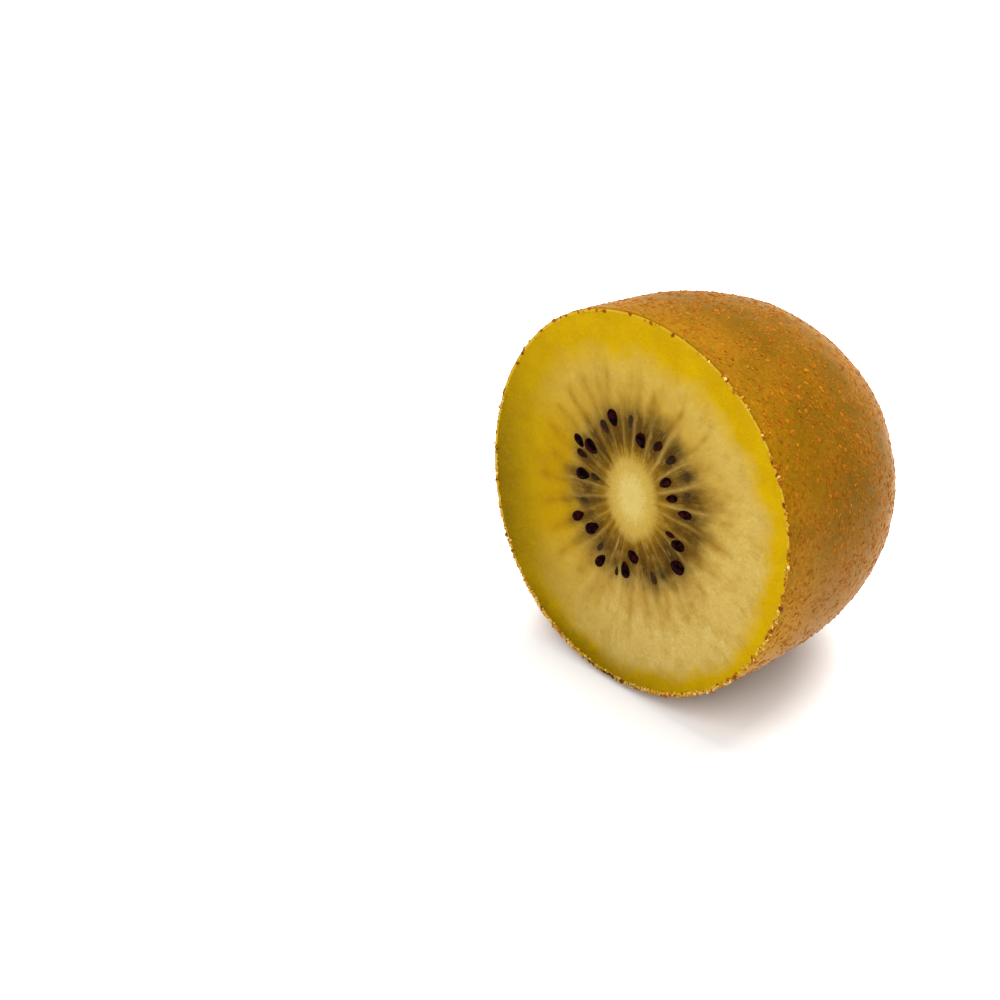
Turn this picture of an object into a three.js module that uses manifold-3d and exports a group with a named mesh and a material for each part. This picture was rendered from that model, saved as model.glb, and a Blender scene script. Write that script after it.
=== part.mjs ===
// Half of a golden kiwi fruit, cut across its middle and lying on its skin.
// Millimetres, +Z up. The cut looks towards -Y and a little up, and the stem end points to +Y.
// The origin is on the surface that the half lies on, under the middle of its outline.

import * as THREE from 'three'
import { mergeVertices } from 'three/addons/utils/BufferGeometryUtils.js'
import Module from 'manifold-3d'

const wasm = await Module()
wasm.setup()

const degrees = THREE.MathUtils.degToRad

// The outside of the half
const radius = 26
const halfLength = 37.2
const barrel = 2.87 // 2 is as round as an egg, and more is straighter along the middle
const stemEndDrop = 1.5
const stemEndLeft = 0.5
const lobes = [
  { count: 3, height: 0.18, clock: 77 },
  { count: 4, height: 0.12, clock: 48 },
]

// How it lies
const lean = 6.9 // the cut leans back by this angle
const pressed = 0.4 // the underside is flat where it rests, as deep as this

// The stem end: a shallow dimple with a round woody scar in it
const dimple = { radius: 8, depth: 1.1 }
const scar = { radius: 2.3, rise: 0.7, root: 0.45, sides: 14 }

// Layers
const skinThickness = 0.6
const gap = 0.3

// The pale core is oval on the cut and tapers towards the stem
const core = { width: 8, height: 10.8, turn: -12, right: -0.5, up: 0.9, depth: 29, sides: 28, steps: 7 }

// The seed chambers are shallow wedges between the pale rays, each at its own clock angle
const chambers = { reach: 9.2, length: 7.4, width: 1.4, depth: 0.4, uneven: 0.22, seed: 5 }
const chamberClocks = [
  2, 19, 35.5, 52, 68, 82, 96, 109, 121, 133, 146, 159, 174.5, 188, 197.5, 208, 220, 232.5, 244,
  256, 269.5, 283.5, 296.5, 309, 321.5, 334.5, 347,
]

// Seeds stand proud of the cut by part of their thickness. Each one has its clock angle from
// the top of the cut, its reach from the middle of the core, its turn off the ray that it is
// on, its length and its width.
const seedThickness = 1.2
const seedSunk = 0.05
const seedTaper = 0.22
const seeds = [
  [333, 10.7, 0, 2.4, 1.6],
  [322, 9.8, -10, 2.2, 1.1],
  [292, 10.9, 15, 2.3, 1.2],
  [297, 9.0, 4, 2.4, 1.7],
  [285, 9.7, -4, 2.0, 1.0],
  [268, 8.9, -5, 2.3, 1.6],
  [272, 6.6, -4, 1.8, 1.0],
  [234, 10.9, -6, 2.4, 1.4],
  [221, 9.5, 8, 2.5, 1.6],
  [200, 11.8, 12, 2.4, 1.4],
  [185, 11.3, -10, 1.5, 0.8],
  [178, 10.5, -15, 2.4, 1.4],
  [170, 8.2, -40, 2.1, 1.5],
  [151, 10.8, -9, 2.1, 1.0],
  [125, 10.9, -31, 2.5, 1.8],
  [111, 9.1, -31, 2.4, 1.6],
  [108, 7.4, -15, 1.6, 0.8],
  [81, 9.1, -6, 2.4, 1.3],
  [68, 7.0, -3, 2.0, 1.0],
  [50, 6.7, 0, 2.3, 1.3],
  [37, 9.5, 12, 2.2, 1.1],
  [20, 9.2, 23, 2.0, 1.2],
  [2, 8.3, -30, 2.1, 1.5],
  [350, 10.3, 5, 2.0, 1.0],
]

// Repeatable numbers from 0 to 1
function makeRandom(seed) {
  let state = seed
  return () => {
    state = (state * 16807) % 2147483647
    return state / 2147483647
  }
}

// A closed body from any geometry: shared points are merged and slivers at the poles go
function toSolid(geometry) {
  const bare = new THREE.BufferGeometry()
  bare.setAttribute('position', geometry.attributes.position)
  bare.setIndex(geometry.index)
  const joined = mergeVertices(bare, 1e-4)
  const kept = []
  for (let i = 0; i < joined.index.count; i += 3) {
    const [a, b, c] = [0, 1, 2].map((k) => joined.index.getX(i + k))
    if (a !== b && b !== c && c !== a) kept.push(a, b, c)
  }
  return new wasm.Manifold(
    new wasm.Mesh({
      numProp: 3,
      vertProperties: Float32Array.from(joined.attributes.position.array),
      triVerts: Uint32Array.from(kept),
    }),
  )
}

function toGeometry(solid) {
  const mesh = solid.getMesh()
  const geometry = new THREE.BufferGeometry()
  geometry.setAttribute('position', new THREE.BufferAttribute(mesh.vertProperties, 3))
  geometry.setIndex(new THREE.BufferAttribute(mesh.triVerts, 1))
  geometry.computeVertexNormals()
  return geometry
}

// The half's side view, from its cut to its stem end, at a depth under the skin's outside
function outline(depth, steps) {
  const points = []
  for (let i = 0; i <= steps; i++) {
    const angle = (i / steps) * (Math.PI / 2)
    const [across, along] = [Math.cos(angle), Math.sin(angle)]
    const reach = (across ** barrel + along ** barrel) ** (-1 / barrel)
    const r = i === steps ? 0 : (radius - depth) * reach * across
    const sink = dimple.depth * Math.max(0, 1 - (r / dimple.radius) ** 2) ** 2
    points.push(new THREE.Vector2(r, (halfLength - depth) * reach * along - sink))
  }
  return points
}

// The stem end hangs a little low, and the girth is slightly lobed, most of all at the cut
function warp(geometry) {
  const at = geometry.attributes.position
  for (let i = 0; i < at.count; i++) {
    const along = THREE.MathUtils.clamp(at.getY(i) / halfLength, 0, 1)
    const clock = Math.atan2(at.getX(i), at.getZ(i))
    let girth = 1
    for (const lobe of lobes) {
      const wave = Math.cos(lobe.count * (clock - degrees(lobe.clock)))
      girth += (lobe.height / radius) * wave * (1 - along)
    }
    at.setX(i, at.getX(i) * girth - stemEndLeft * along ** 2)
    at.setZ(i, at.getZ(i) * girth - stemEndDrop * along ** 2)
  }
  return geometry
}

// The body of the fruit at a depth under its skin. It may run on past the cut, to open a cup.
function fruitBody(depth, { sides, steps, pastCut = 0 }) {
  const profile = outline(depth, steps)
  const rim = radius - depth
  if (pastCut > 0) profile.unshift(new THREE.Vector2(rim, -pastCut))
  profile.unshift(new THREE.Vector2(0, -pastCut))
  return warp(new THREE.LatheGeometry(profile, sides))
}

// From the fruit's own axes, with y along it and the cut at y = 0, to how it lies
const leanBack = new THREE.Matrix4().makeRotationX(-degrees(lean))
const skinMesh = { sides: 80, steps: 18 }
const fleshMesh = { sides: 60, steps: 13 }

function lowestPoint(geometry) {
  const leaned = geometry.clone().applyMatrix4(leanBack)
  leaned.computeBoundingBox()
  return leaned.boundingBox.min.z
}

const lift = -lowestPoint(fruitBody(0, skinMesh)) - pressed
const lay = new THREE.Matrix4().makeTranslation(0, 0, lift).multiply(leanBack)

function laid(geometry) {
  return toSolid(geometry.applyMatrix4(lay))
}

// Everything above a level, to cut an underside flat
function above(level) {
  const size = 4 * halfLength
  return toSolid(new THREE.BoxGeometry(size, size, size).translate(0, 0, level + size / 2))
}

function layer(depth, mesh) {
  return laid(fruitBody(depth, mesh)).intersect(above(depth))
}

// Turn a geometry on the cut to a clock angle and move it to a place on the cut
function onCut(geometry, clock, right, up, into = 0) {
  return geometry.rotateY(degrees(clock)).translate(right, into, up)
}

function fromCore(clock, reach) {
  const angle = degrees(clock)
  return [core.right + reach * Math.sin(angle), core.up + reach * Math.cos(angle)]
}

// The core's spindle, or the pocket for it when it is given a margin
function coreBody(margin) {
  const profile = [new THREE.Vector2(0, -margin)]
  if (margin > 0) profile.push(new THREE.Vector2(1, -margin))
  for (let i = 0; i <= core.steps; i++) {
    const angle = (i / core.steps) * (Math.PI / 2)
    const r = i === core.steps ? 0 : Math.cos(angle) ** 0.8
    profile.push(new THREE.Vector2(r, (core.depth + margin) * Math.sin(angle)))
  }
  const spindle = new THREE.LatheGeometry(profile, core.sides)
  spindle.scale(core.width / 2 + margin, 1, core.height / 2 + margin)
  return laid(onCut(spindle, core.turn, core.right, core.up))
}

function chamber(clock, random) {
  const length = chambers.length * (1 + chambers.uneven * (random() - 0.5))
  const wedge = new THREE.OctahedronGeometry(1)
  wedge.scale(chambers.width / 2, chambers.depth, length / 2)
  return laid(onCut(wedge, clock, ...fromCore(clock, chambers.reach)))
}

function seed([clock, reach, turn, length, width]) {
  const grain = new THREE.SphereGeometry(1, 8, 6)
  const at = grain.attributes.position
  for (let i = 0; i < at.count; i++) at.setX(i, at.getX(i) * (1 + seedTaper * at.getZ(i)))
  grain.scale(width / 2, seedThickness / 2, length / 2)
  return laid(onCut(grain, clock + turn, ...fromCore(clock, reach), seedSunk))
}

function makeSkin() {
  const cup = layer(0, skinMesh).subtract(
    laid(fruitBody(skinThickness, { ...skinMesh, pastCut: 1 })).intersect(above(skinThickness)),
  )
  const top = halfLength - dimple.depth
  const button = new THREE.LatheGeometry(
    [
      new THREE.Vector2(0, top - scar.root),
      new THREE.Vector2(scar.radius, top - scar.root),
      new THREE.Vector2(scar.radius, top + 0.6 * scar.rise),
      new THREE.Vector2(0.8 * scar.radius, top + scar.rise),
      new THREE.Vector2(0.4 * scar.radius, top + 0.7 * scar.rise),
      new THREE.Vector2(0, top + 0.6 * scar.rise),
    ],
    scar.sides,
  )
  return cup.add(laid(button.translate(-stemEndLeft, 0, -stemEndDrop)))
}

function makeFlesh() {
  let flesh = layer(skinThickness + gap, fleshMesh).subtract(coreBody(gap))
  const random = makeRandom(chambers.seed)
  for (const clock of chamberClocks) flesh = flesh.subtract(chamber(clock, random))
  for (const one of seeds) flesh = flesh.add(seed(one))
  return flesh
}

function piece(name, solid, color, roughness) {
  const material = new THREE.MeshStandardMaterial({ color, roughness, metalness: 0 })
  const mesh = new THREE.Mesh(toGeometry(solid), material)
  mesh.name = name
  return mesh
}

const kiwi = new THREE.Group()
kiwi.add(piece('skin', makeSkin(), 0x9a6a1c, 0.8))
kiwi.add(piece('flesh', makeFlesh(), 0xd3ab1c, 0.4))
kiwi.add(piece('core', coreBody(0), 0xe6d37c, 0.5))

const middle = new THREE.Box3().setFromObject(kiwi).getCenter(new THREE.Vector3())
kiwi.position.set(-middle.x, -middle.y, 0)

export default kiwi
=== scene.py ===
import logging
import math
from dataclasses import dataclass, field
from enum import Enum
from typing import Any, Callable, Iterable, Sequence

import bpy
import numpy as np
from mathutils import Matrix, Vector


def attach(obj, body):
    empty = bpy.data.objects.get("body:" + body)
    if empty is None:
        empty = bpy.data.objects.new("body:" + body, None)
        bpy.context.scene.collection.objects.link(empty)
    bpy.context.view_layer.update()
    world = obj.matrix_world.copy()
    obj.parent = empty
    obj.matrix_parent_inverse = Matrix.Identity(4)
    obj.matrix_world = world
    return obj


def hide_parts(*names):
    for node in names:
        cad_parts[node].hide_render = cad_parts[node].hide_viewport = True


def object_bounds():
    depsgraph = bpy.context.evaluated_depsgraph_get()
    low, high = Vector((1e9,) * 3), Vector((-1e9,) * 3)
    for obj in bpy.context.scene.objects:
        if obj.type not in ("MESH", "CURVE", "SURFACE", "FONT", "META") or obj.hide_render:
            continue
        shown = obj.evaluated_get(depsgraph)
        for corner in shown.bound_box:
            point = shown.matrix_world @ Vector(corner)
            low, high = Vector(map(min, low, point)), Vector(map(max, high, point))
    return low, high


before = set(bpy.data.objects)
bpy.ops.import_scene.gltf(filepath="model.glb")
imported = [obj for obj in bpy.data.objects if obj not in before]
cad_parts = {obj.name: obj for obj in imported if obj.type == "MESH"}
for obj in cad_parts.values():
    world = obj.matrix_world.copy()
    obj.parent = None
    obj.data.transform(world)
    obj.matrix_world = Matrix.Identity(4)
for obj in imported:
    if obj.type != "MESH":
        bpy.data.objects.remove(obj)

LOG = logging.getLogger("golden_kiwi")
MM = 0.001
ROOT = "root"
SOLID_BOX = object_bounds()
CLEAR = 0.01 * MM  # how far every piece stays inside the box of the solids
QUARTER = math.pi / 2
Point = np.ndarray
Colour = tuple[float, float, float]


class Slot(Enum):
    """The record's material slots."""

    SKIN = "skin"
    FLESH = "flesh"
    CORE = "core"
    SEED = "seed"


class Mark(Enum):
    """The numbers that the points of a piece carry, for its finish to follow."""

    RAY = "ray"
    CHAMBER = "chamber"
    RING = "ring"
    DASH = "dash"
    DUSK = "dusk"
    HAZE = "haze"
    VEIL = "veil"
    GOLD = "gold"
    # The painted shade, partly the flesh's own olive tinge, at the lower left of the cut
    OLIVE_AND_PAINTED_SHADE = "olive_and_painted_shade"
    LIP = "lip"
    TONE = "tone"
    DEPTH = "depth"


class Maths(Enum):
    """The sums that a Math node can do here."""

    ADD = "ADD"
    SUBTRACT = "SUBTRACT"
    MULTIPLY = "MULTIPLY"
    DIVIDE = "DIVIDE"
    POWER = "POWER"
    MAXIMUM = "MAXIMUM"


def rgb(red: int, green: int, blue: int) -> Colour:
    """A linear colour from the values that a screen shows.

    Args:
        red: the red channel, from 0 to 255.
        green: the green channel, from 0 to 255.
        blue: the blue channel, from 0 to 255.

    Returns:
        The linear colour, each channel from 0 to 1.
    """

    def linear(value: int) -> float:
        """One channel, from screen to linear."""
        share = value / 255
        return share / 12.92 if share <= 0.04045 else ((share + 0.055) / 1.055) ** 2.4

    return linear(red), linear(green), linear(blue)


def smooth(low: float, high: float, value: Point) -> Point:
    """A soft step from 0 at low to 1 at high.

    Args:
        low: where the step starts. It may be above high, for a falling step.
        high: where the step ends.
        value: the numbers to put through the step.

    Returns:
        Numbers from 0 to 1.
    """
    share = np.clip((value - low) / (high - low), 0, 1)
    return share * share * (3 - 2 * share)


def bell(distance: Point, width: float | Point) -> Point:
    """1 at no distance, falling softly to 0 over about twice the width."""
    return np.exp(-((distance / width) ** 2))


def clock_gap(clock: Point, other: float) -> Point:
    """The signed angle in degrees from one clock angle to another, from -180 to 180."""
    return (clock - other + 180) % 360 - 180


class Waves:
    """Smooth random unevenness: a sum of seeded plane waves, about -1 to 1."""

    def __init__(self, wavelength: float, seed: int, count: int = 24) -> None:
        """Draw the waves' directions, lengths and phases.

        Args:
            wavelength: the middle wavelength, in millimetres.
            seed: the seed of the random draw.
            count: how many waves are summed.
        """
        draw = np.random.default_rng(seed)
        direction = draw.normal(size=(count, 3))
        direction /= np.linalg.norm(direction, axis=1, keepdims=True)
        self.wave = direction * (2 * math.pi / (wavelength * draw.uniform(0.7, 1.5, (count, 1))))
        self.phase = draw.uniform(0, 2 * math.pi, count)

    def __call__(self, points: Point) -> Point:
        """Read the unevenness.

        Args:
            points: places in millimetres, with x, y and z last.

        Returns:
            A number of about -1 to 1 for each place.
        """
        total = np.zeros(points.shape[:-1])
        for wave, phase in zip(self.wave, self.phase):
            total += np.sin(points @ wave + phase)
        return total / math.sqrt(2 * len(self.phase))


@dataclass(frozen=True)
class Lobe:
    """A slight lobing of the girth: how many rises, how high in mm, and the clock of one."""

    count: int
    height: float
    clock: float


@dataclass(frozen=True)
class FruitForm:
    """The outside of the half in millimetres, and how it lies.

    In the fruit's own axes x is to the right on the cut, z is up on it, and y runs into the
    fruit, from 0 on the cut to the stem end. A clock angle starts at the top of the cut.
    """

    radius: float = 26
    half_length: float = 37.2
    barrel: float = 2.87
    end_drop: float = 1.5
    end_left: float = 0.5
    lobes: tuple[Lobe, ...] = (Lobe(3, 0.18, 77), Lobe(4, 0.12, 48))
    lean: float = math.radians(6.9)
    pressed: float = 0.4
    dimple_radius: float = 8
    dimple_depth: float = 1.1
    solid_sides: int = 80
    solid_steps: int = 18

    def shell(self, depth: float, clocks: Point, turns: Point) -> Point:
        """Points at a depth under the skin's outside.

        Args:
            depth: how deep under the outside, in millimetres.
            clocks: clock angles in degrees, one for each column.
            turns: angles from 0 at the cut to a quarter turn at the stem end, one for each row.

        Returns:
            Points in the fruit's own axes, rows by columns by 3.
        """
        across, along = np.cos(turns), np.sin(turns)
        reach = (np.abs(across) ** self.barrel + along ** self.barrel) ** (-1 / self.barrel)
        r = (self.radius - depth) * reach * across
        sink = self.dimple_depth * np.maximum(0, 1 - (r / self.dimple_radius) ** 2) ** 2
        y = (self.half_length - depth) * reach * along - sink
        return self.bend(r[:, None], y[:, None], clocks[None, :])

    def bend(self, r: Point, y: Point, clocks: Point) -> Point:
        """Let the stem end hang and lobe the girth, most of all at the cut.

        Args:
            r: distances off the axis, in one column.
            y: places along the axis, in one column.
            clocks: clock angles in degrees, in one row.

        Returns:
            Points in the fruit's own axes, rows by columns by 3.
        """
        share = np.clip(y / self.half_length, 0, 1)
        girth = np.ones(np.broadcast(share, clocks).shape)
        for lobe in self.lobes:
            wave = np.cos(lobe.count * np.radians(clocks - lobe.clock))
            girth = girth + lobe.height / self.radius * wave * (1 - share)
        angle = np.radians(clocks)
        x = r * girth * np.sin(angle) - self.end_left * share**2
        z = r * girth * np.cos(angle) - self.end_drop * share**2
        return np.stack([x, np.broadcast_to(y, x.shape), z], axis=-1)

    def leaned(self, points: Point) -> Point:
        """Turn points back by the lean, before the half is stood on the surface.

        Args:
            points: places in the fruit's own axes.

        Returns:
            The turned places.
        """
        x, y, z = np.moveaxis(points, -1, 0)
        c, s = math.cos(self.lean), math.sin(self.lean)
        return np.stack([x, y * c + z * s, z * c - y * s], axis=-1)

    def place(self) -> Point:
        """Find where the middle of the cut is in the part's frame.

        Returns:
            Its x, y and z in millimetres.
        """
        clocks = np.arange(self.solid_sides) * 360 / self.solid_sides
        turns = np.linspace(0, QUARTER, self.solid_steps + 1)
        outside = self.leaned(self.shell(0, clocks, turns)).reshape(-1, 3)
        low, high = outside.min(0), outside.max(0)
        return np.array([-(low[0] + high[0]) / 2, -(low[1] + high[1]) / 2, -low[2] - self.pressed])

    def lay(self, points: Point, floor: float = 0) -> Point:
        """Bring points into the part's frame.

        Args:
            points: places in the fruit's own axes, in millimetres.
            floor: the level that none of them goes under, in millimetres.

        Returns:
            Places in the part's frame, in metres.
        """
        laid = self.leaned(points) + self.place()
        laid[..., 2] = np.maximum(laid[..., 2], floor)
        return laid * MM


FORM = FruitForm()
PEEL = 0.42


@dataclass(frozen=True)
class Seed:
    """A seed on the cut: where it is, how it is turned, its size, and how deep it is veiled.

    clock and reach are from the middle of the core, turn is off the ray that the seed is on,
    and veil is 0 for a bare seed and near 1 for one that shows only as a grey shadow.
    """

    clock: float
    reach: float
    turn: float
    length: float
    width: float
    veil: float = 0.0

    def middle(self, cut: "Cut") -> tuple[float, float]:
        """Where the seed is on the cut: to the right and up."""
        angle = math.radians(self.clock)
        return cut.core_right + self.reach * math.sin(angle), cut.core_up + self.reach * math.cos(angle)


SEEDS = (
    Seed(333, 10.7, 0, 2.4, 1.7),
    Seed(322, 9.8, -10, 2.2, 1.15, 0.35),
    Seed(292, 10.9, 15, 2.3, 1.2),
    Seed(297, 9.0, 4, 2.4, 1.8),
    Seed(285, 9.7, -4, 2.0, 1.0, 0.12),
    Seed(268, 8.9, -5, 2.3, 1.65),
    Seed(272, 6.6, -4, 1.8, 1.0, 0.4),
    Seed(245, 8.9, 19, 1.7, 0.9, 0.72),
    Seed(234, 10.9, -6, 2.4, 1.4),
    Seed(221, 9.5, 8, 2.5, 1.6),
    Seed(205, 10.1, 13, 1.9, 0.95, 0.6),
    Seed(200, 11.8, 12, 2.4, 1.4),
    Seed(185, 11.3, -10, 1.5, 0.6, 0.3),
    Seed(178, 10.5, -15, 2.4, 1.45),
    Seed(170, 8.2, -60, 2.1, 1.6),
    Seed(151, 10.8, -9, 2.1, 0.95, 0.45),
    Seed(125, 10.9, -31, 2.5, 1.9),
    Seed(111, 9.1, -31, 2.4, 1.6),
    Seed(108, 7.4, -15, 1.6, 0.65, 0.05),
    Seed(81, 9.1, -6, 2.4, 1.3),
    Seed(68, 7.0, -3, 2.0, 1.0),
    Seed(50, 6.7, 0, 2.3, 1.3, 0.04),
    Seed(36, 9.5, 12, 2.2, 1.1, 0.25),
    Seed(20, 9.2, 23, 2.0, 1.15, 0.06),
    Seed(2, 8.3, -30, 2.1, 1.6),
    Seed(350, 10.3, 5, 2.0, 0.95, 0.55),
    Seed(65, 9.8, -10, 1.6, 0.8, 0.8),
    Seed(52, 10.6, -14, 1.7, 0.9, 0.85),
    Seed(141, 10.7, 10, 1.5, 1.1, 0.9),
)


@dataclass(frozen=True)
class Ray:
    """A pale ray between two seed chambers: its clock angle and how strongly it shows."""

    clock: float
    strength: float


RAYS = (
    Ray(11, 0.5), Ray(27.5, 0.9), Ray(43.5, 0.65), Ray(60, 0.9), Ray(75.5, 0.85), Ray(89, 0.5),
    Ray(103, 0.3), Ray(115, 0.45), Ray(127, 0.2), Ray(139, 0.25), Ray(153, 0.12), Ray(165, 0.3),
    Ray(184, 0.2), Ray(192, 0.35), Ray(203, 0.12), Ray(213, 0.5), Ray(227, 0.15), Ray(238, 0.2),
    Ray(249.5, 0.4), Ray(262, 0.5), Ray(277, 0.3), Ray(290, 0.1), Ray(303, 0.2), Ray(315, 0.25),
    Ray(328, 0.2), Ray(341, 0.4), Ray(353, 0.6),
)

# The golden dash beyond the outer end of each chamber: its clock angle and its reach
DASHES = (
    (7, 14.5), (23, 15.5), (38.5, 16.3), (52.5, 14.8), (66.5, 16), (80, 16), (93, 15), (108, 15.4),
    (120, 15), (131, 16), (146, 15.6), (161, 16), (172, 16), (188, 14), (197, 16.8), (207, 15.5),
    (220, 17), (232, 15.4), (245, 15.5), (259, 15.5), (273, 14), (284.5, 15), (297.5, 15.3),
    (309.5, 14.5), (321.5, 16), (335.5, 16.5), (350.5, 15.5),
)


@dataclass(frozen=True)
class Patch:
    """A dark patch of the chambers: its clock and reach, its size in degrees and mm."""

    clock: float
    reach: float
    wide: float
    tall: float
    strength: float


PATCHES = (
    Patch(12, 10.6, 8, 1.7, 0.9), Patch(33, 11.2, 9, 1.6, 0.8), Patch(52, 10.8, 7, 1.5, 0.9),
    Patch(66, 10.2, 5, 1.4, 0.8), Patch(84, 11.2, 7, 1.6, 0.75), Patch(97, 10.6, 5, 1.4, 0.5),
    Patch(122, 9.4, 9, 2.1, 1.0), Patch(140, 10.2, 10, 1.8, 0.8), Patch(118, 11.8, 5, 1.5, 0.5),
    Patch(158, 10.4, 7, 1.2, 0.45), Patch(225, 7.6, 11, 1.7, 0.5), Patch(255, 8.2, 11, 2.0, 0.5),
    Patch(285, 8.2, 7, 1.6, 0.65), Patch(304, 7.8, 11, 2.0, 0.9), Patch(325, 7.8, 11, 1.8, 0.75),
    Patch(350, 9.4, 7, 1.8, 0.6), Patch(200, 8.6, 9, 1.6, 0.35), Patch(268, 6.4, 20, 1.5, 0.6),
    Patch(238, 6.6, 14, 1.4, 0.3), Patch(302, 6.2, 18, 1.4, 0.5),
)


@dataclass(frozen=True)
class Side:
    """A stretch of the cut's round where something is more, or less with a negative amount."""

    clock: float
    width: float
    amount: float = 1.0

    def at(self, clocks: Point) -> Point:
        """The amount in the middle of the stretch, falling softly to 0 on both sides."""
        return self.amount * bell(clock_gap(clocks, self.clock), self.width)


@dataclass(frozen=True)
class Cut:
    """The cut across the fruit: its relief, and the marks that its colours follow.

    Every mark is a number from 0 to 1 for each point. Sizes are in millimetres, and a reach
    is from the middle of the core.
    """

    form: FruitForm = FORM
    core_right: float = -0.5
    core_up: float = 0.9
    core_width: float = 8.0
    core_height: float = 10.8
    core_turn: float = -12.0
    ring_reach: float = 12.6
    ring_fade: float = 2.4
    # How much further out the dark ring reaches on some sides
    ring_sides: tuple[Side, ...] = (
        Side(70, 62, 0.7), Side(272, 46, -1.9), Side(165, 40, -1.1), Side(42, 26, -0.75),
        Side(316, 24, -0.75),
    )
    gold_reach: float = 23.3
    gold_left: Side = Side(257, 47, 1.12)
    gold_top: Side = Side(358, 62)
    gold_right: Side = Side(80, 60)
    # Painted shade, partly the flesh's own olive tinge: on the left side and at the low rim
    olive_and_painted_shade_left: Side = Side(248, 52)
    olive_and_painted_shade_low: Side = Side(200, 50)
    swell: Waves = Waves(9, 11)
    grain: Waves = Waves(1.3, 12, 32)
    wander: Waves = Waves(5.5, 13)
    ragged: Waves = Waves(2.2, 14, 32)
    streaks: Waves = Waves(1.6, 15, 40)

    def polar(self, points: Point) -> tuple[Point, Point]:
        """Reach from the middle of the core in mm, and clock angle in degrees."""
        right, up = points[..., 0] - self.core_right, points[..., 2] - self.core_up
        return np.hypot(right, up), np.degrees(np.arctan2(right, up)) % 360

    def from_axis(self, points: Point) -> tuple[Point, Point]:
        """Reach from the fruit's axis in mm, and clock angle seen from the core in degrees."""
        return np.hypot(points[..., 0], points[..., 2]), self.polar(points)[1]

    def fringe(self, clock: Point) -> Point:
        """Unevenness that changes with the clock angle alone, about -1 to 1."""
        angle = np.radians(clock)
        return self.streaks(9 * np.stack([np.sin(angle), 0 * angle, np.cos(angle)], axis=-1))

    def core_edge(self, clocks: Point) -> Point:
        """Find points round the core's oval edge.

        Args:
            clocks: the clock angle of each point, in degrees.

        Returns:
            Points on the cut, in the fruit's own axes.
        """
        angle, turned = np.radians(clocks - self.core_turn), np.radians(clocks)
        half_w, half_h = self.core_width / 2, self.core_height / 2
        reach = 1 / np.hypot(np.sin(angle) / half_w, np.cos(angle) / half_h)
        x = self.core_right + reach * np.sin(turned)
        z = self.core_up + reach * np.cos(turned)
        return np.stack([x, 0 * x, z], axis=-1)

    def oval(self, points: Point) -> Point:
        """Find how far out points are, for the oval core.

        Args:
            points: places on the cut, in the fruit's own axes.

        Returns:
            Their reach as a share of the reach to the core's edge.
        """
        reach, clock = self.polar(points)
        angle = np.radians(clock - self.core_turn)
        across, along = np.sin(angle) / self.core_width, np.cos(angle) / self.core_height
        return 2 * reach * np.hypot(across, along)

    def ray_mark(self, points: Point) -> Point:
        """Mark the pale rays between the chambers, each a little bent.

        Args:
            points: places on the cut, in the fruit's own axes.

        Returns:
            How much of a ray is at each point.
        """
        reach, clock = self.polar(points)
        bent = clock + 1.2 * self.wander(points)
        mark = np.zeros_like(reach)
        for number, ray in enumerate(RAYS):
            half_width = (0.13 + 0.1 * ray.strength) * (1 + 0.08 * np.maximum(reach - 6, -4))
            drift = 2.4 * math.sin(2.4 * number) * (reach - 9) / 7
            aside = np.radians(np.abs(clock_gap(bent + drift, ray.clock))) * reach
            far = 12.0 + 4.5 * ray.strength
            shown = ray.strength * bell(aside, half_width) * smooth(far, far - 5, reach)
            mark = np.maximum(mark, shown)
        return mark * smooth(1.0, 1.45, self.oval(points))

    def chamber_mark(self, points: Point) -> Point:
        """Mark the seed chambers, from 0 on a ray to 1 in the middle between two.

        Args:
            points: places on the cut, in the fruit's own axes.

        Returns:
            How deep in a chamber each point is.
        """
        reach, clock = self.polar(points)
        bent = clock + 1.2 * self.wander(points)
        clocks = [ray.clock for ray in RAYS]
        mark = np.zeros_like(reach)
        for number, (start, end) in enumerate(zip(clocks, clocks[1:] + [clocks[0] + 360])):
            middle, half = (start + end) / 2, (end - start) / 2
            drift = 2.0 * math.sin(1.9 * number) * (reach - 9) / 5
            inside = np.clip(1 - np.abs(clock_gap(bent + drift, middle)) / half, 0, 1)
            far = self.ring_reach + 1.5 * math.sin(4.1 * number)
            faded = 1 - 0.6 * smooth(far - 2.2, far + 0.8, reach + 0.6 * self.ragged(points))
            strength = 0.8 + 0.2 * math.sin(2.7 * number)
            mark = np.maximum(mark, strength * faded * smooth(0.0, 0.9, inside))
        return mark * self.ring_mark(points, 0.6)

    def dusk_mark(self, points: Point) -> Point:
        """Mark the dark patches of the chambers.

        Args:
            points: places on the cut, in the fruit's own axes.

        Returns:
            How dark each point is.
        """
        reach, clock = self.polar(points)
        bent = clock + 2.2 * self.wander(points) + 1.8 * self.ragged(points)
        rough = reach + 0.5 * self.ragged(points)
        mark = np.zeros_like(reach)
        for patch in PATCHES:
            aside = clock_gap(bent, patch.clock) / patch.wide
            blob = patch.strength * np.exp(-(aside**2) - ((rough - patch.reach) / patch.tall) ** 2)
            mark = 1 - (1 - mark) * (1 - blob)
        return mark

    def ring_mark(self, points: Point, tail: float = 0.0) -> Point:
        """Mark the dark ring that the chambers make together.

        Args:
            points: places on the cut, in the fruit's own axes.
            tail: how much further out than the plain ring it fades.

        Returns:
            The ring's strength at each point.
        """
        reach, clock = self.polar(points)
        uneven = 0.55 * self.ragged(points) + 0.5 * self.wander(points)
        edge = self.ring_reach + tail + sum(side.at(clock) for side in self.ring_sides)
        inner = smooth(0.8, 1.3, self.oval(points) + 0.08 * uneven)
        frayed = reach + 0.6 * uneven + 0.9 * self.fringe(clock)
        return inner * smooth(edge + self.ring_fade, edge - self.ring_fade, frayed)

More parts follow.
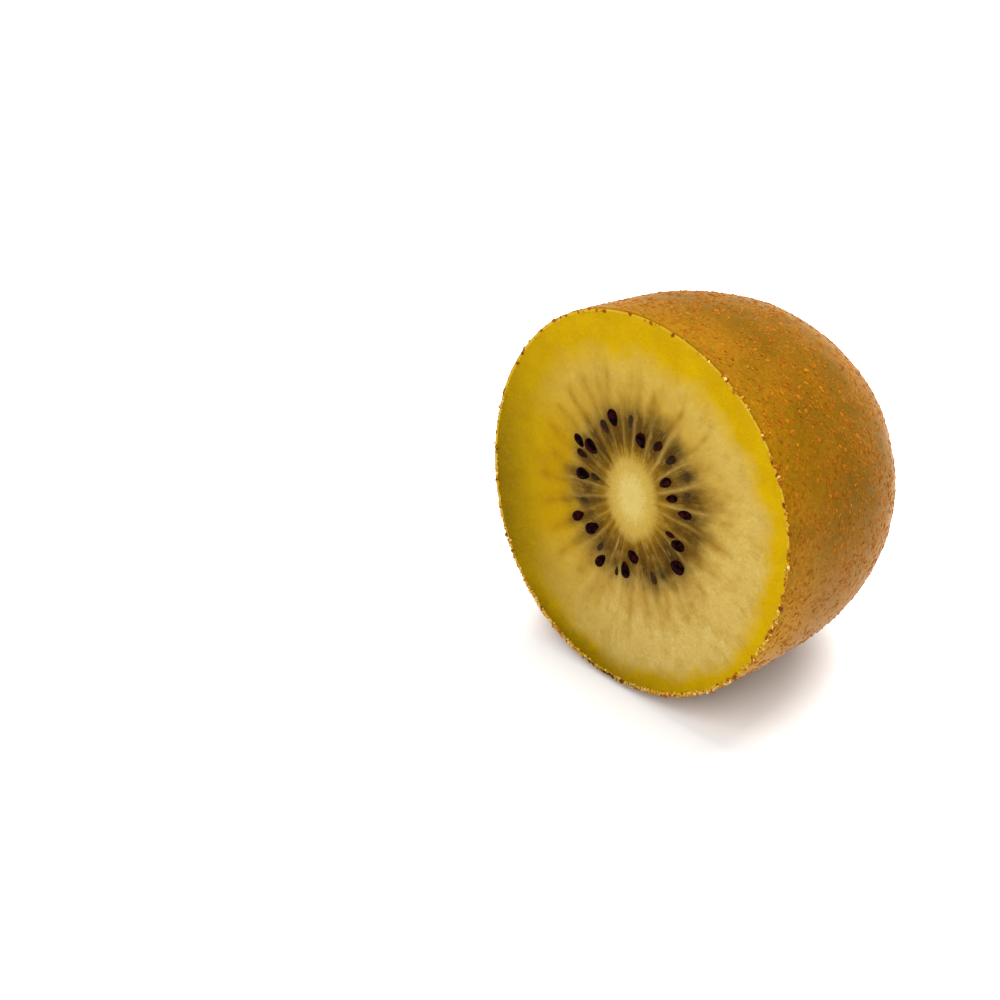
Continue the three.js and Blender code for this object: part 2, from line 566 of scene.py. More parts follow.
    def dash_mark(self, points: Point) -> Point:
        """Mark the golden dashes beyond the outer end of each chamber.

        Args:
            points: places on the cut, in the fruit's own axes.

        Returns:
            How much of a dash is at each point.
        """
        reach, clock = self.polar(points)
        bent = clock + 1.6 * self.wander(points)
        mark = np.zeros_like(reach)
        for number, (middle, place) in enumerate(DASHES):
            aside = np.radians(clock_gap(bent, middle)) * reach
            along = reach - place + 0.5 * self.ragged(points)
            wide = 0.62 + 0.18 * math.sin(5.1 * number)
            tall = 1.5 + 0.5 * math.sin(3.3 * number)
            strength = 0.8 + 0.2 * math.sin(7.7 * number)
            tail = bell(aside, 0.55) * smooth(11.5, 12.6, reach) * smooth(place, place - 1.5, reach)
            blob = np.exp(-((aside / wide) ** 2) - (along / tall) ** 2)
            mark = np.maximum(mark, strength * np.maximum(blob, 0.75 * tail))
        return mark

    def veil_mark(self, points: Point) -> Point:
        """Mark the grey shadows round and over the seeds.

        Args:
            points: places on the cut, in the fruit's own axes.

        Returns:
            How grey each point is.
        """
        mark = np.zeros(points.shape[:-1])
        for seed in SEEDS:
            seed_right, seed_up = seed.middle(self)
            right, up = points[..., 0] - seed_right, points[..., 2] - seed_up
            turn = math.radians(seed.clock + seed.turn)
            along = right * math.sin(turn) + up * math.cos(turn)
            across = right * math.cos(turn) - up * math.sin(turn)
            away = np.hypot(along / (seed.length / 2), across / (seed.width / 2))
            mark = np.maximum(mark, (0.35 + 0.45 * seed.veil) * bell(away, 1.5))
        return mark

    def gold_mark(self, points: Point) -> Point:
        """Mark the golden outer flesh, from 0 in the pale middle to 1 at the skin.

        Args:
            points: places on the cut, in the fruit's own axes.

        Returns:
            How golden each point is.
        """
        reach, clock = self.from_axis(points)
        left = np.minimum(self.gold_left.at(clock), 1)
        top = self.gold_top.at(clock)
        uneven = 0.35 * self.ragged(points) + 0.7 * self.wander(points)
        border = self.gold_reach - 3.2 * top - 1.2 * left + uneven
        width = 1.7 + 1.6 * top + 0.8 * left
        rim = smooth(0, 1, (reach - border + width) / (2 * width))
        tint = left + 0.36 * top + 0.12 * self.gold_right.at(clock)
        inner = np.minimum(tint, 1) * smooth(7.5, 13.5, reach + 0.9 * uneven)
        return 1 - (1 - rim) * (1 - inner)

    def haze_mark(self, points: Point) -> Point:
        """Mark the darker haze just outside the ring of chambers.

        Args:
            points: places on the cut, in the fruit's own axes.

        Returns:
            How hazy each point is.
        """
        reach, clock = self.polar(points)
        rough = reach + 0.7 * self.ragged(points)
        return smooth(10.5, 12.5, rough) * smooth(18.5, 13.0, rough + 1.6 * self.fringe(clock))

    def olive_and_painted_shade_mark(self, points: Point) -> Point:
        """Mark the darker olive towards the lower left of the rim: painted shade, partly also the flesh's
        own olive tinge.

        Args:
            points: places on the cut, in the fruit's own axes.

        Returns:
            How deep the shade is at each point.
        """
        reach, clock = self.from_axis(points)
        rough = reach + 0.4 * self.ragged(points)
        side = self.olive_and_painted_shade_left.at(clock) * (0.2 + 0.8 * smooth(13.5, 26.5, rough))
        low = self.olive_and_painted_shade_low.at(clock) * smooth(20.5, 25.8, rough)
        return np.maximum(side * smooth(8, 13, rough), 0.95 * low)

    def relief(self, points: Point) -> Point:
        """Work out the fine relief: sunk chambers, raised rays and a level edge.

        Args:
            points: places on the cut, in the fruit's own axes.

        Returns:
            How far each point is sunk into the fruit, in millimetres.
        """
        reach, _ = self.polar(points)
        edge = self.form.radius - PEEL - np.hypot(points[..., 0], points[..., 2])
        chambers, rays = self.chamber_mark(points), self.ray_mark(points)
        sunk = 0.12 + 0.16 * chambers - 0.07 * rays + 0.04 * self.swell(points)
        sunk += 0.02 * self.grain(points) - 0.06 * smooth(5.5, 2.0, reach)
        return 0.02 + (sunk - 0.02) * smooth(0.0, 1.2, edge)

    def sunk(self, points: Point) -> Point:
        """Move points into the fruit by the cut's relief.

        Args:
            points: places on the cut, in the fruit's own axes.

        Returns:
            The moved points.
        """
        moved = points.copy()
        moved[..., 1] += self.relief(points)
        return moved


CUT = Cut()


class RingMesh:
    """A closed mesh made of rings with as many points each, and a pole at either end."""

    def __init__(self, around: int) -> None:
        """Start an empty mesh.

        Args:
            around: how many points each ring has.
        """
        self.around = around
        self.points: list[Point] = []
        self.faces: list[tuple[int, ...]] = []
        self.rows: list[list[int]] = []

    def add(self, points: Point) -> None:
        """Add one ring or one pole.

        Args:
            points: its points in the part's frame, in metres.
        """
        start = sum(len(block) for block in self.points)
        block = points.reshape(-1, 3)
        self.points.append(block)
        row = list(range(start, start + len(block)))
        if self.rows:
            self._join(self.rows[-1], row)
        self.rows.append(row)

    def _join(self, before: list[int], after: list[int]) -> None:
        """Add the faces between two rings, or between a ring and a pole.

        Args:
            before: the numbers of the earlier points.
            after: the numbers of the later points.
        """
        for i in range(self.around):
            j = (i + 1) % self.around
            if len(before) == 1:
                self.faces.append((before[0], after[i], after[j]))
            elif len(after) == 1:
                self.faces.append((before[i], after[0], before[j]))
            else:
                self.faces.append((before[i], after[i], after[j], before[j]))

    def build(self, name: str, sharp: Iterable[int] = ()) -> bpy.types.Object:
        """Make the object, smooth and with its faces pointing out.

        Args:
            name: the object's name.
            sharp: the rings that are crisp edges, counted from the start.

        Returns:
            The new object, at the origin.
        """
        made = mesh_object(name, np.concatenate(self.points), self.faces)
        mesh = made.data
        mesh.shade_smooth()
        ends = np.zeros(2 * len(mesh.edges), dtype=np.int32)
        mesh.edges.foreach_get("vertices", ends)
        both = np.zeros(len(mesh.edges), dtype=bool)
        for number in sharp:
            crisp = np.zeros(len(mesh.vertices), dtype=bool)
            crisp[self.rows[number]] = True
            both |= crisp[ends[0::2]] & crisp[ends[1::2]]
        mesh.attributes.new("sharp_edge", "BOOLEAN", "EDGE").data.foreach_set("value", both)
        return made


def mesh_object(name: str, points: Point, faces: Sequence[Sequence[int]] = ()) -> bpy.types.Object:
    """Make an object from points and faces.

    Args:
        name: the object's name.
        points: its points in metres.
        faces: the numbers of each face's points, or nothing for bare points.

    Returns:
        The new object, at the origin.
    """
    mesh = bpy.data.meshes.new(name)
    mesh.from_pydata(points.reshape(-1, 3), [], faces)
    mesh.update()
    made = bpy.data.objects.new(name, mesh)
    bpy.context.scene.collection.objects.link(made)
    return made


def add_mark(piece: bpy.types.Object, mark: Mark, values: Point) -> None:
    """Store one number for each point of a piece, for its finish to follow."""
    attribute = piece.data.attributes.new(mark.value, "FLOAT", "POINT")
    attribute.data.foreach_set("value", np.ascontiguousarray(values, dtype=np.float32))


class Value:
    """A number's socket in a node tree, with Python's arithmetic on it."""

    def __init__(self, graph: "Graph", socket: bpy.types.NodeSocket) -> None:
        """Wrap a socket.

        Args:
            graph: the tree that the socket is in.
            socket: an output that gives a number.
        """
        self.graph = graph
        self.socket = socket

    def _math(self, operation: Maths, *operands: "Value | float", clamp: bool = False) -> "Value":
        """Add one Math node.

        Args:
            operation: what the node does.
            operands: its inputs in their order.
            clamp: whether its result is kept from 0 to 1.

        Returns:
            Its result.
        """
        settings = {"operation": operation.value, "use_clamp": clamp}
        made = self.graph.node("ShaderNodeMath", settings, dict(enumerate(operands)))
        return Value(self.graph, made.outputs[0])

    def __add__(self, other: "Value | float") -> "Value":
        """self + other"""
        return self._math(Maths.ADD, self, other)

    def __radd__(self, other: float) -> "Value":
        """other + self"""
        return self._math(Maths.ADD, other, self)

    def __sub__(self, other: "Value | float") -> "Value":
        """self - other"""
        return self._math(Maths.SUBTRACT, self, other)

    def __rsub__(self, other: float) -> "Value":
        """other - self"""
        return self._math(Maths.SUBTRACT, other, self)

    def __mul__(self, other: "Value | float") -> "Value":
        """self * other"""
        return self._math(Maths.MULTIPLY, self, other)

    def __rmul__(self, other: float) -> "Value":
        """other * self"""
        return self._math(Maths.MULTIPLY, other, self)

    def __truediv__(self, other: "Value | float") -> "Value":
        """self / other"""
        return self._math(Maths.DIVIDE, self, other)

    def __pow__(self, other: float) -> "Value":
        """self ** other"""
        return self._math(Maths.POWER, self, other)

    def most(self, other: "Value | float") -> "Value":
        """The larger of two numbers."""
        return self._math(Maths.MAXIMUM, self, other)

    def clamped(self) -> "Value":
        """The number kept from 0 to 1."""
        return self._math(Maths.ADD, self, 0.0, clamp=True)

    def step(self, low: float, high: float) -> "Value":
        """Put the number through a soft step.

        Args:
            low: where the step starts. It may be above high, for a falling step.
            high: where the step ends.

        Returns:
            A number from 0 at low to 1 at high.
        """
        made = self.graph.node(
            "ShaderNodeMapRange",
            {"interpolation_type": "SMOOTHSTEP"},
            {"Value": self, "From Min": min(low, high), "From Max": max(low, high)},
        )
        rising = Value(self.graph, made.outputs["Result"])
        return rising if low < high else 1 - rising


class Graph:
    """A node tree whose nodes all come from one method."""

    def __init__(self, tree: bpy.types.NodeTree) -> None:
        """Take a tree to build in.

        Args:
            tree: a material's or a geometry node group's tree.
        """
        self.tree = tree

    def node(
        self, kind: str, settings: dict[str, Any] | None = None, inputs: dict | None = None
    ) -> bpy.types.Node:
        """Add one node.

        Args:
            kind: the node's type.
            settings: its properties, set first. "stops" gives a ramp's places and colours.
            inputs: a value, a Value or a socket for each of its inputs, by name or number.

        Returns:
            The new node.
        """
        made = self.tree.nodes.new(kind)
        for name, setting in (settings or {}).items():
            if name == "stops":
                self._set_stops(made.color_ramp, setting)
            else:
                setattr(made, name, setting)
        for key, value in (inputs or {}).items():
            self.feed(made.inputs[key], value)
        return made

    def _set_stops(self, ramp: bpy.types.ColorRamp, stops: Sequence[tuple[float, Colour]]) -> None:
        """Give a colour ramp its stops.

        Args:
            ramp: the ramp.
            stops: the place from 0 to 1 and the colour of each stop.
        """
        while len(ramp.elements) < len(stops):
            ramp.elements.new(1.0)
        for element, (place, colour) in zip(ramp.elements, stops):
            element.position = place
            element.color = (*colour, 1.0)

    def feed(self, socket: bpy.types.NodeSocket, value: Any) -> None:
        """Link or set one input.

        Args:
            socket: the input.
            value: a Value or an output to link, or a plain value to set.
        """
        source = value.socket if isinstance(value, Value) else value
        if isinstance(source, bpy.types.NodeSocket):
            self.tree.links.new(source, socket)
        elif isinstance(source, tuple) and len(source) == 3 and socket.type == "RGBA":
            socket.default_value = (*source, 1.0)
        else:
            socket.default_value = source

    def parts(self, vector: bpy.types.NodeSocket) -> tuple[Value, Value, Value]:
        """The x, y and z of a vector."""
        x, y, z = self.node("ShaderNodeSeparateXYZ", None, {"Vector": vector}).outputs
        return Value(self, x), Value(self, y), Value(self, z)

    def vector(self, x: Value | float, y: Value | float, z: Value | float) -> bpy.types.NodeSocket:
        """A vector from three numbers."""
        return self.node("ShaderNodeCombineXYZ", None, {0: x, 1: y, 2: z}).outputs[0]


class Paint(Graph):
    """A material under construction, with the patterns that the finishes share."""

    def __init__(self, name: str) -> None:
        """Start an empty material.

        Args:
            name: the material's name.
        """
        self.material = bpy.data.materials.new(name)
        self.material.use_nodes = True
        self.material.node_tree.nodes.clear()
        super().__init__(self.material.node_tree)
        place = self.node("ShaderNodeTexCoord").outputs["Object"]
        inputs = {0: place, "Scale": 1 / MM}
        scaled = self.node("ShaderNodeVectorMath", {"operation": "SCALE"}, inputs)
        self.millimetres = scaled.outputs["Vector"]

    def fruit_axes(self) -> bpy.types.NodeSocket:
        """Turn the place back into the fruit's own axes.

        Returns:
            The place in millimetres.
        """
        middle = FORM.place()
        c, s = math.cos(FORM.lean), math.sin(FORM.lean)
        back = (-middle[0], -(middle[1] * c - middle[2] * s), -(middle[1] * s + middle[2] * c))
        made = self.node(
            "ShaderNodeMapping",
            {"vector_type": "POINT"},
            {"Vector": self.millimetres, "Location": back, "Rotation": (FORM.lean, 0, 0)},
        )
        return made.outputs["Vector"]

    def noise(
        self, size: float, vector: Any = None, detail: float = 2, rough: float = 0.5
    ) -> Value:
        """Cloudy noise from 0 to 1.

        Args:
            size: the size of its features in the vector's units, millimetres by default.
            vector: where it is read, or None for the place in millimetres.
            detail: how many finer layers it has.
            rough: how strong the finer layers are.

        Returns:
            The noise.
        """
        place = self.millimetres if vector is None else vector
        inputs = {"Vector": place, "Scale": 1 / size, "Detail": detail, "Roughness": rough}
        return Value(self, self.node("ShaderNodeTexNoise", None, inputs).outputs["Fac"])

    def cells(self, size: float, stretch: tuple[float, float, float]) -> Value:
        """Measure how near scattered points are.

        Args:
            size: how far apart the points are, in millimetres.
            stretch: how much closer they are along each axis.

        Returns:
            The distance to the nearest point, as a share of the size.
        """
        inputs = {0: self.millimetres, 1: stretch}
        place = self.node("ShaderNodeVectorMath", {"operation": "MULTIPLY"}, inputs).outputs["Vector"]
        made = self.node("ShaderNodeTexVoronoi", None, {"Vector": place, "Scale": 1 / size})
        return Value(self, made.outputs["Distance"])

    def mark(self, mark: Mark) -> Value:
        """One of a piece's own numbers."""
        made = self.node("ShaderNodeAttribute", {"attribute_name": mark.value})
        return Value(self, made.outputs["Fac"])

    def blend(self, share: Value | float, first: Any, second: Any) -> bpy.types.NodeSocket:
        """A colour between two: the first at 0, the second at 1."""
        inputs = {0: share, 6: first, 7: second}
        return self.node("ShaderNodeMix", {"data_type": "RGBA"}, inputs).outputs[2]

    def darken(self, share: Value | float, first: Any, second: Any) -> bpy.types.NodeSocket:
        """A colour multiplied by a second one, by a share."""
        settings = {"data_type": "RGBA", "blend_type": "MULTIPLY"}
        return self.node("ShaderNodeMix", settings, {0: share, 6: first, 7: second}).outputs[2]

    def bump(self, height: Value, depth: float, after: Any = None) -> bpy.types.NodeSocket:
        """Bump the surface.

        Args:
            height: heights from 0 to 1.
            depth: the height of 1, in millimetres.
            after: a normal to bump further, or None.

        Returns:
            The bumped normal.
        """
        inputs = {"Height": height, "Distance": depth * MM, "Strength": 1.0}
        if after is not None:
            inputs["Normal"] = after
        return self.node("ShaderNodeBump", None, inputs).outputs["Normal"]

    def finish(self, **sockets: Any) -> bpy.types.Material:
        """End the material in a Principled shader.

        Args:
            sockets: its inputs, with an underscore for each blank in their names.

        Returns:
            The material.
        """
        named = {name.replace("_", " "): value for name, value in sockets.items()}
        shader = self.node("ShaderNodeBsdfPrincipled", None, named)
        out = self.node("ShaderNodeOutputMaterial")
        self.tree.links.new(shader.outputs["BSDF"], out.inputs["Surface"])
        return self.material


class CutPatterns:
    """The places and noises that the layers of the cut's finish share."""

    def __init__(self, paint: Paint) -> None:
        """Add them to a material.

        Args:
            paint: the material.
        """
        x, _, z = paint.parts(paint.fruit_axes())
        self.right, self.up = x - CUT.core_right, z - CUT.core_up
        self.reach = (self.right * self.right + self.up * self.up + 0.0001) ** 0.5
        turn_x, turn_z = self.right / self.reach, self.up / self.reach

        def radial(turns: float, stretch: float, detail: float, rough: float) -> Value:
            """Noise drawn out along the rays, by how fine it is round them and along them."""
            place = paint.vector(turn_x * turns, turn_z * turns, self.reach * stretch)
            return paint.noise(1, place, detail, rough)

        self.fibre = radial(34, 0.7, 3, 0.6)
        self.streak = radial(11, 0.3, 2, 0.5)
        self.thread = radial(17, 0.4, 3, 0.62)
        self.speck = paint.noise(0.24, None, 3, 0.6)
        self.cloud = paint.noise(3.2, None, 3, 0.55)


@dataclass(frozen=True)
class CutFinish:
    """The moist cut flesh: pale and fibrous in the middle, golden at the rim, with olive painted shade,
    partly its own tinge, towards the lower left of the rim.
    """

    cream: Colour = rgb(183, 157, 85)
    cream_deep: Colour = rgb(163, 131, 52)
    sugar: Colour = rgb(196, 175, 112)
    gold: Colour = rgb(184, 148, 0)
    gold_deep: Colour = rgb(173, 135, 0)
    ochre: Colour = rgb(136, 96, 4)
    # The colour of the painted shade, partly the flesh's own olive tinge, at the lower left of the rim
    olive: Colour = rgb(106, 82, 0)
    core: Colour = rgb(190, 167, 94)
    core_edge: Colour = rgb(164, 131, 34)
    ring_inner: Colour = rgb(133, 97, 14)
    ring_outer: Colour = rgb(98, 68, 12)
    ray: Colour = rgb(168, 139, 70)
    chamber: Colour = rgb(54, 33, 0)
    grey: Colour = rgb(48, 38, 20)
    roughness: float = 0.4
    wetter: float = 0.14
    specular: float = 0.01
    subsurface: float = 0.08
    subsurface_depth: float = 0.8
    subsurface_shares: Colour = (1.0, 0.55, 0.15)
    fibre_depth: float = 0.13
    pit_depth: float = 0.2

    def make(self, name: str) -> bpy.types.Material:
        """Make the material.

        Args:
            name: the material's name.

        Returns:
            The material.
        """
        paint = Paint(name)
        seen = CutPatterns(paint)
        colour = self._flesh(paint, seen)
        colour = self._chambers(paint, seen, colour)
        colour = self._core(paint, seen, colour)
        bumps = paint.bump(seen.fibre * 0.3 + seen.speck * 0.7, self.fibre_depth)
        bumps = paint.bump(paint.noise(0.55), self.pit_depth, bumps)
        wet = paint.noise(1.4, None, 3, 0.6).step(0.42, 0.62)
        return paint.finish(
            Base_Color=colour,
            Roughness=self.roughness - self.wetter * wet,
            Normal=bumps,
            Specular_IOR_Level=self.specular,
            Subsurface_Weight=self.subsurface,
            Subsurface_Radius=self.subsurface_shares,
            Subsurface_Scale=self.subsurface_depth * MM,
        )

    def _flesh(self, paint: Paint, seen: CutPatterns) -> bpy.types.NodeSocket:
        """Colour the flesh between the core and the skin.

        Args:
            paint: the material.
            seen: the shared patterns.

        Returns:
            The colour.
        """
        fibre, streak, speck, cloud = seen.fibre, seen.streak, seen.speck, seen.cloud
        mottle = (fibre * 0.3 + speck * 0.7).step(0.34, 0.6) * 0.55 + streak.step(0.34, 0.56) * 0.45
        pale = paint.blend(mottle, self.cream_deep, self.cream)
        sugar = paint.noise(0.6, None, 3, 0.65).step(0.46, 0.66) * cloud.step(0.36, 0.6)
        pale = paint.blend(sugar * 0.35, pale, self.sugar)
        golden = paint.blend((cloud * 0.5 + speck * 0.5).step(0.36, 0.64), self.gold_deep, self.gold)
        gold = paint.mark(Mark.GOLD)
        rough = (speck - 0.5) * 4.4 + (streak - 0.5) * 1.8 + (fibre - 0.5) * 1.9
        share = (gold * 1.16 - 0.06 + rough * gold * (1 - gold)).clamped()
        flesh = paint.blend(share, pale, golden)
        # Painted shade, partly the flesh's own olive tinge, darkens the flesh towards the lower left of
        # the rim
        olive_and_painted_shade = paint.mark(Mark.OLIVE_AND_PAINTED_SHADE)
        depth = olive_and_painted_shade * (0.8 + 0.25 * streak) + (speck - 0.5) * 0.7 * olive_and_painted_shade.step(0.1, 0.5)
        return paint.blend(depth.clamped(), flesh, self.olive)

    def _chambers(self, paint: Paint, seen: CutPatterns, colour: Any) -> bpy.types.NodeSocket:
        """Add the seed chambers, the rays between them and the dashes beyond them.

        Args:
            paint: the material.
            seen: the shared patterns.
            colour: the flesh's colour.

        Returns:
            The colour with the chambers on it.
        """
        reach, thread, cloud = seen.reach, seen.thread, seen.cloud
        haze = paint.mark(Mark.HAZE) * (0.05 + 0.5 * thread + 0.7 * (cloud - 0.4))
        colour = paint.blend(haze.clamped(), colour, self.ochre)
        dash = (paint.mark(Mark.DASH) * (0.1 + 1.5 * thread)).clamped()
        colour = paint.blend(dash * 0.72, colour, self.ochre)
        patch = paint.noise(1.7, None, 3, 0.6)
        uneven = 1.0 * (thread - 0.5) + 0.9 * (patch - 0.5)
        outward = (reach + 2.5 * (cloud - 0.5)).step(5.0, 8.4)
        brown = paint.blend(outward, self.ring_inner, self.ring_outer)
        ring = paint.mark(Mark.RING)
        colour = paint.blend((ring * (1.0 + 0.8 * uneven)).clamped(), colour, brown)
        dark = paint.blend((reach * 0.02 + cloud).step(0.5, 0.75) * 0.6, self.chamber, self.grey)
        share = paint.mark(Mark.CHAMBER) * (0.34 + 1.1 * uneven)
        colour = paint.blend(share.clamped(), colour, dark)
        dusk = paint.mark(Mark.DUSK) * (0.72 + 1.5 * uneven)
        colour = paint.blend(dusk.clamped() * 0.85, colour, dark)
        colour = paint.blend(paint.mark(Mark.VEIL), colour, self.grey)
        ray = paint.mark(Mark.RAY) * (0.6 + 1.4 * (thread - 0.5) + 0.6 * (patch - 0.5))
        colour = paint.blend(ray.clamped(), colour, self.ray)
        hair = thread.step(0.58, 0.7) * ring * 0.3
        return paint.blend(hair, colour, self.ray)

    def _core(self, paint: Paint, seen: CutPatterns, colour: Any) -> bpy.types.NodeSocket:
        """Add the pale core, with an edge that frays into the rays.

        Args:
            paint: the material.
            seen: the shared patterns.
            colour: the colour so far.

        Returns:
            The colour with the core on it.
        """
        turn, frays = math.radians(CUT.core_turn), seen.thread - 0.5
        across = seen.right * math.cos(turn) - seen.up * math.sin(turn)
        along = seen.right * math.sin(turn) + seen.up * math.cos(turn)
        across, along = across / (CUT.core_width / 2), along / (CUT.core_height / 2)
        oval = (across * across + along * along) ** 0.5
        grain = paint.noise(0.35, None, 3, 0.65) - 0.5
        frayed = oval + frays * 1.1 + grain * 0.9
        colour = paint.blend(frayed.step(1.24, 0.62), colour, self.core_edge)
        pale = (oval + frays * 0.6 + grain * 0.6).step(1.0, 0.3)
        return paint.blend(pale, colour, self.core)


@dataclass(frozen=True)
class SkinFinish:
    """The thin dull peel: golden olive with rusty mottling, and a painted sheen and floor reflection as
    paler tan low down and on the far side.
    """

    olive: Colour = rgb(107, 75, 0)
    gold: Colour = rgb(125, 83, 0)
    # The lighter gold of the painted light on the peel by the cut
    near: Colour = rgb(172, 121, 3)
    # The paler tan of the painted sheen and floor reflection
    painted_sheen_tan: Colour = rgb(160, 115, 60)
    lip: Colour = rgb(196, 156, 36)
    rust: Colour = rgb(144, 81, 0)
    dark: Colour = rgb(84, 54, 2)
    roughness: float = 0.6
    specular: float = 0.02
    sheen: float = 0.48
    sheen_roughness: float = 0.26
    sheen_tint: Colour = rgb(250, 214, 176)
    fleck_depth: float = 0.03
    grain_depth: float = 0.04

    def make(self, name: str) -> bpy.types.Material:
        """Make the material.

        Args:
            name: the material's name.

        Returns:
            The material.
        """
        paint = Paint(name)
        cloud = paint.noise(7, None, 3, 0.55)
        fine = paint.noise(0.5, None, 3, 0.6)
        _, back, height = paint.parts(paint.millimetres)
        _, inward, _ = paint.parts(paint.fruit_axes())
        colour = paint.blend(cloud.step(0.35, 0.65), self.olive, self.gold)
        # Painted sheen and floor reflection: paler tan low down and on the far side, where the peel turns
        # away
        turned = height.step(38, 10).most(back.step(2, 19) * 0.9) * (0.6 + 0.6 * cloud)
        colour = paint.blend(turned.clamped() * 0.85, colour, self.painted_sheen_tan)
        # Painted light: the peel lighter and more golden by the cut, most of all low down
        painted_light_by_cut = inward.step(11, 0) * (0.2 + 0.2 * cloud + 0.6 * height.step(34, 12))
        colour = paint.blend(painted_light_by_cut.clamped(), colour, self.near)
        colour = paint.blend(fine.step(0.62, 0.4) * 0.35, colour, self.dark)
        patch = paint.noise(3.5).step(0.36, 0.58) * (0.5 + 0.5 * height.step(6, 26))
        spots = paint.cells(0.6, (1.0, 1.7, 1.0)) + (fine - 0.5) * 0.6
        fleck = spots.step(0.38, 0.16) * patch
        colour = paint.blend(fleck * 0.6, colour, self.rust)
        colour = paint.blend(paint.mark(Mark.LIP) * (0.5 + 0.7 * fine), colour, self.lip)
        normal = paint.bump(fleck, self.fleck_depth)
        normal = paint.bump(fine * 0.7 + cloud * 0.3, self.grain_depth, normal)
        return paint.finish(
            Base_Color=colour,
            Roughness=self.roughness + 0.15 * fine,
            Normal=normal,
            Specular_IOR_Level=self.specular,
            Sheen_Weight=self.sheen,
            Sheen_Roughness=self.sheen_roughness,
            Sheen_Tint=self.sheen_tint,
        )


@dataclass(frozen=True)
class GrainFinish:
    """Small raised grains whose colours lie between three, one draw for each grain."""

    low: Colour
    middle: Colour
    high: Colour
    roughness: float
    specular: float = 0.05
    grain_depth: float = 0.03

    def make(self, name: str) -> bpy.types.Material:
        """Make the material.

        Args:
            name: the material's name.

        Returns:
            The material.
        """
        paint = Paint(name)
        stops = [(0.0, self.low), (0.5, self.middle), (1.0, self.high)]
        ramp = paint.node("ShaderNodeValToRGB", {"stops": stops}, {"Fac": paint.mark(Mark.TONE)})
        fine = paint.noise(0.25, None, 2, 0.6)
        colour = paint.darken(fine.step(0.7, 0.3) * 0.4, ramp.outputs["Color"], self.low)
        return paint.finish(
            Base_Color=colour,
            Roughness=self.roughness + 0.1 * fine,
            Normal=paint.bump(fine, self.grain_depth),
            Specular_IOR_Level=self.specular,
        )


@dataclass(frozen=True)
class SeedFinish:
    """A smooth, nearly black seed coat with a dark red bloom, greyed where flesh veils it."""

    coat: Colour = rgb(3, 0, 0)
    bloom: Colour = rgb(50, 8, 15)
    veiled: Colour = rgb(66, 50, 26)
    roughness: float = 0.26
    shine: float = 0.03
    shine_roughness: float = 0.2
    pit_depth: float = 0.03

    def make(self, name: str) -> bpy.types.Material:
        """Make the material.

        Args:
            name: the material's name.

        Returns:
            The material.
        """
        paint = Paint(name)
        cloud, pits = paint.noise(0.6), paint.noise(0.14)
        colour = paint.blend(cloud.step(0.42, 0.66) * 0.8, self.coat, self.bloom)
        veil = paint.mark(Mark.VEIL)
        share = (veil * (0.3 + 1.4 * paint.noise(0.4, None, 3, 0.65))).clamped()
        colour = paint.blend(share, colour, self.veiled)
        return paint.finish(
            Base_Color=colour,
            Roughness=self.roughness + 0.2 * veil,
            Normal=paint.bump(pits, self.pit_depth),
            Specular_IOR_Level=0.0,
            Coat_Weight=self.shine,
            Coat_Roughness=self.shine_roughness,
        )


@dataclass(frozen=True)
class FloorFinish:
    """A matt white sheet."""

    white: Colour = (0.92, 0.92, 0.92)
    roughness: float = 0.9

    def make(self, name: str) -> bpy.types.Material:
        """The sheet's material, by its name."""
        paint = Paint(name)
        return paint.finish(Base_Color=self.white, Roughness=self.roughness, Specular_IOR_Level=0.0)


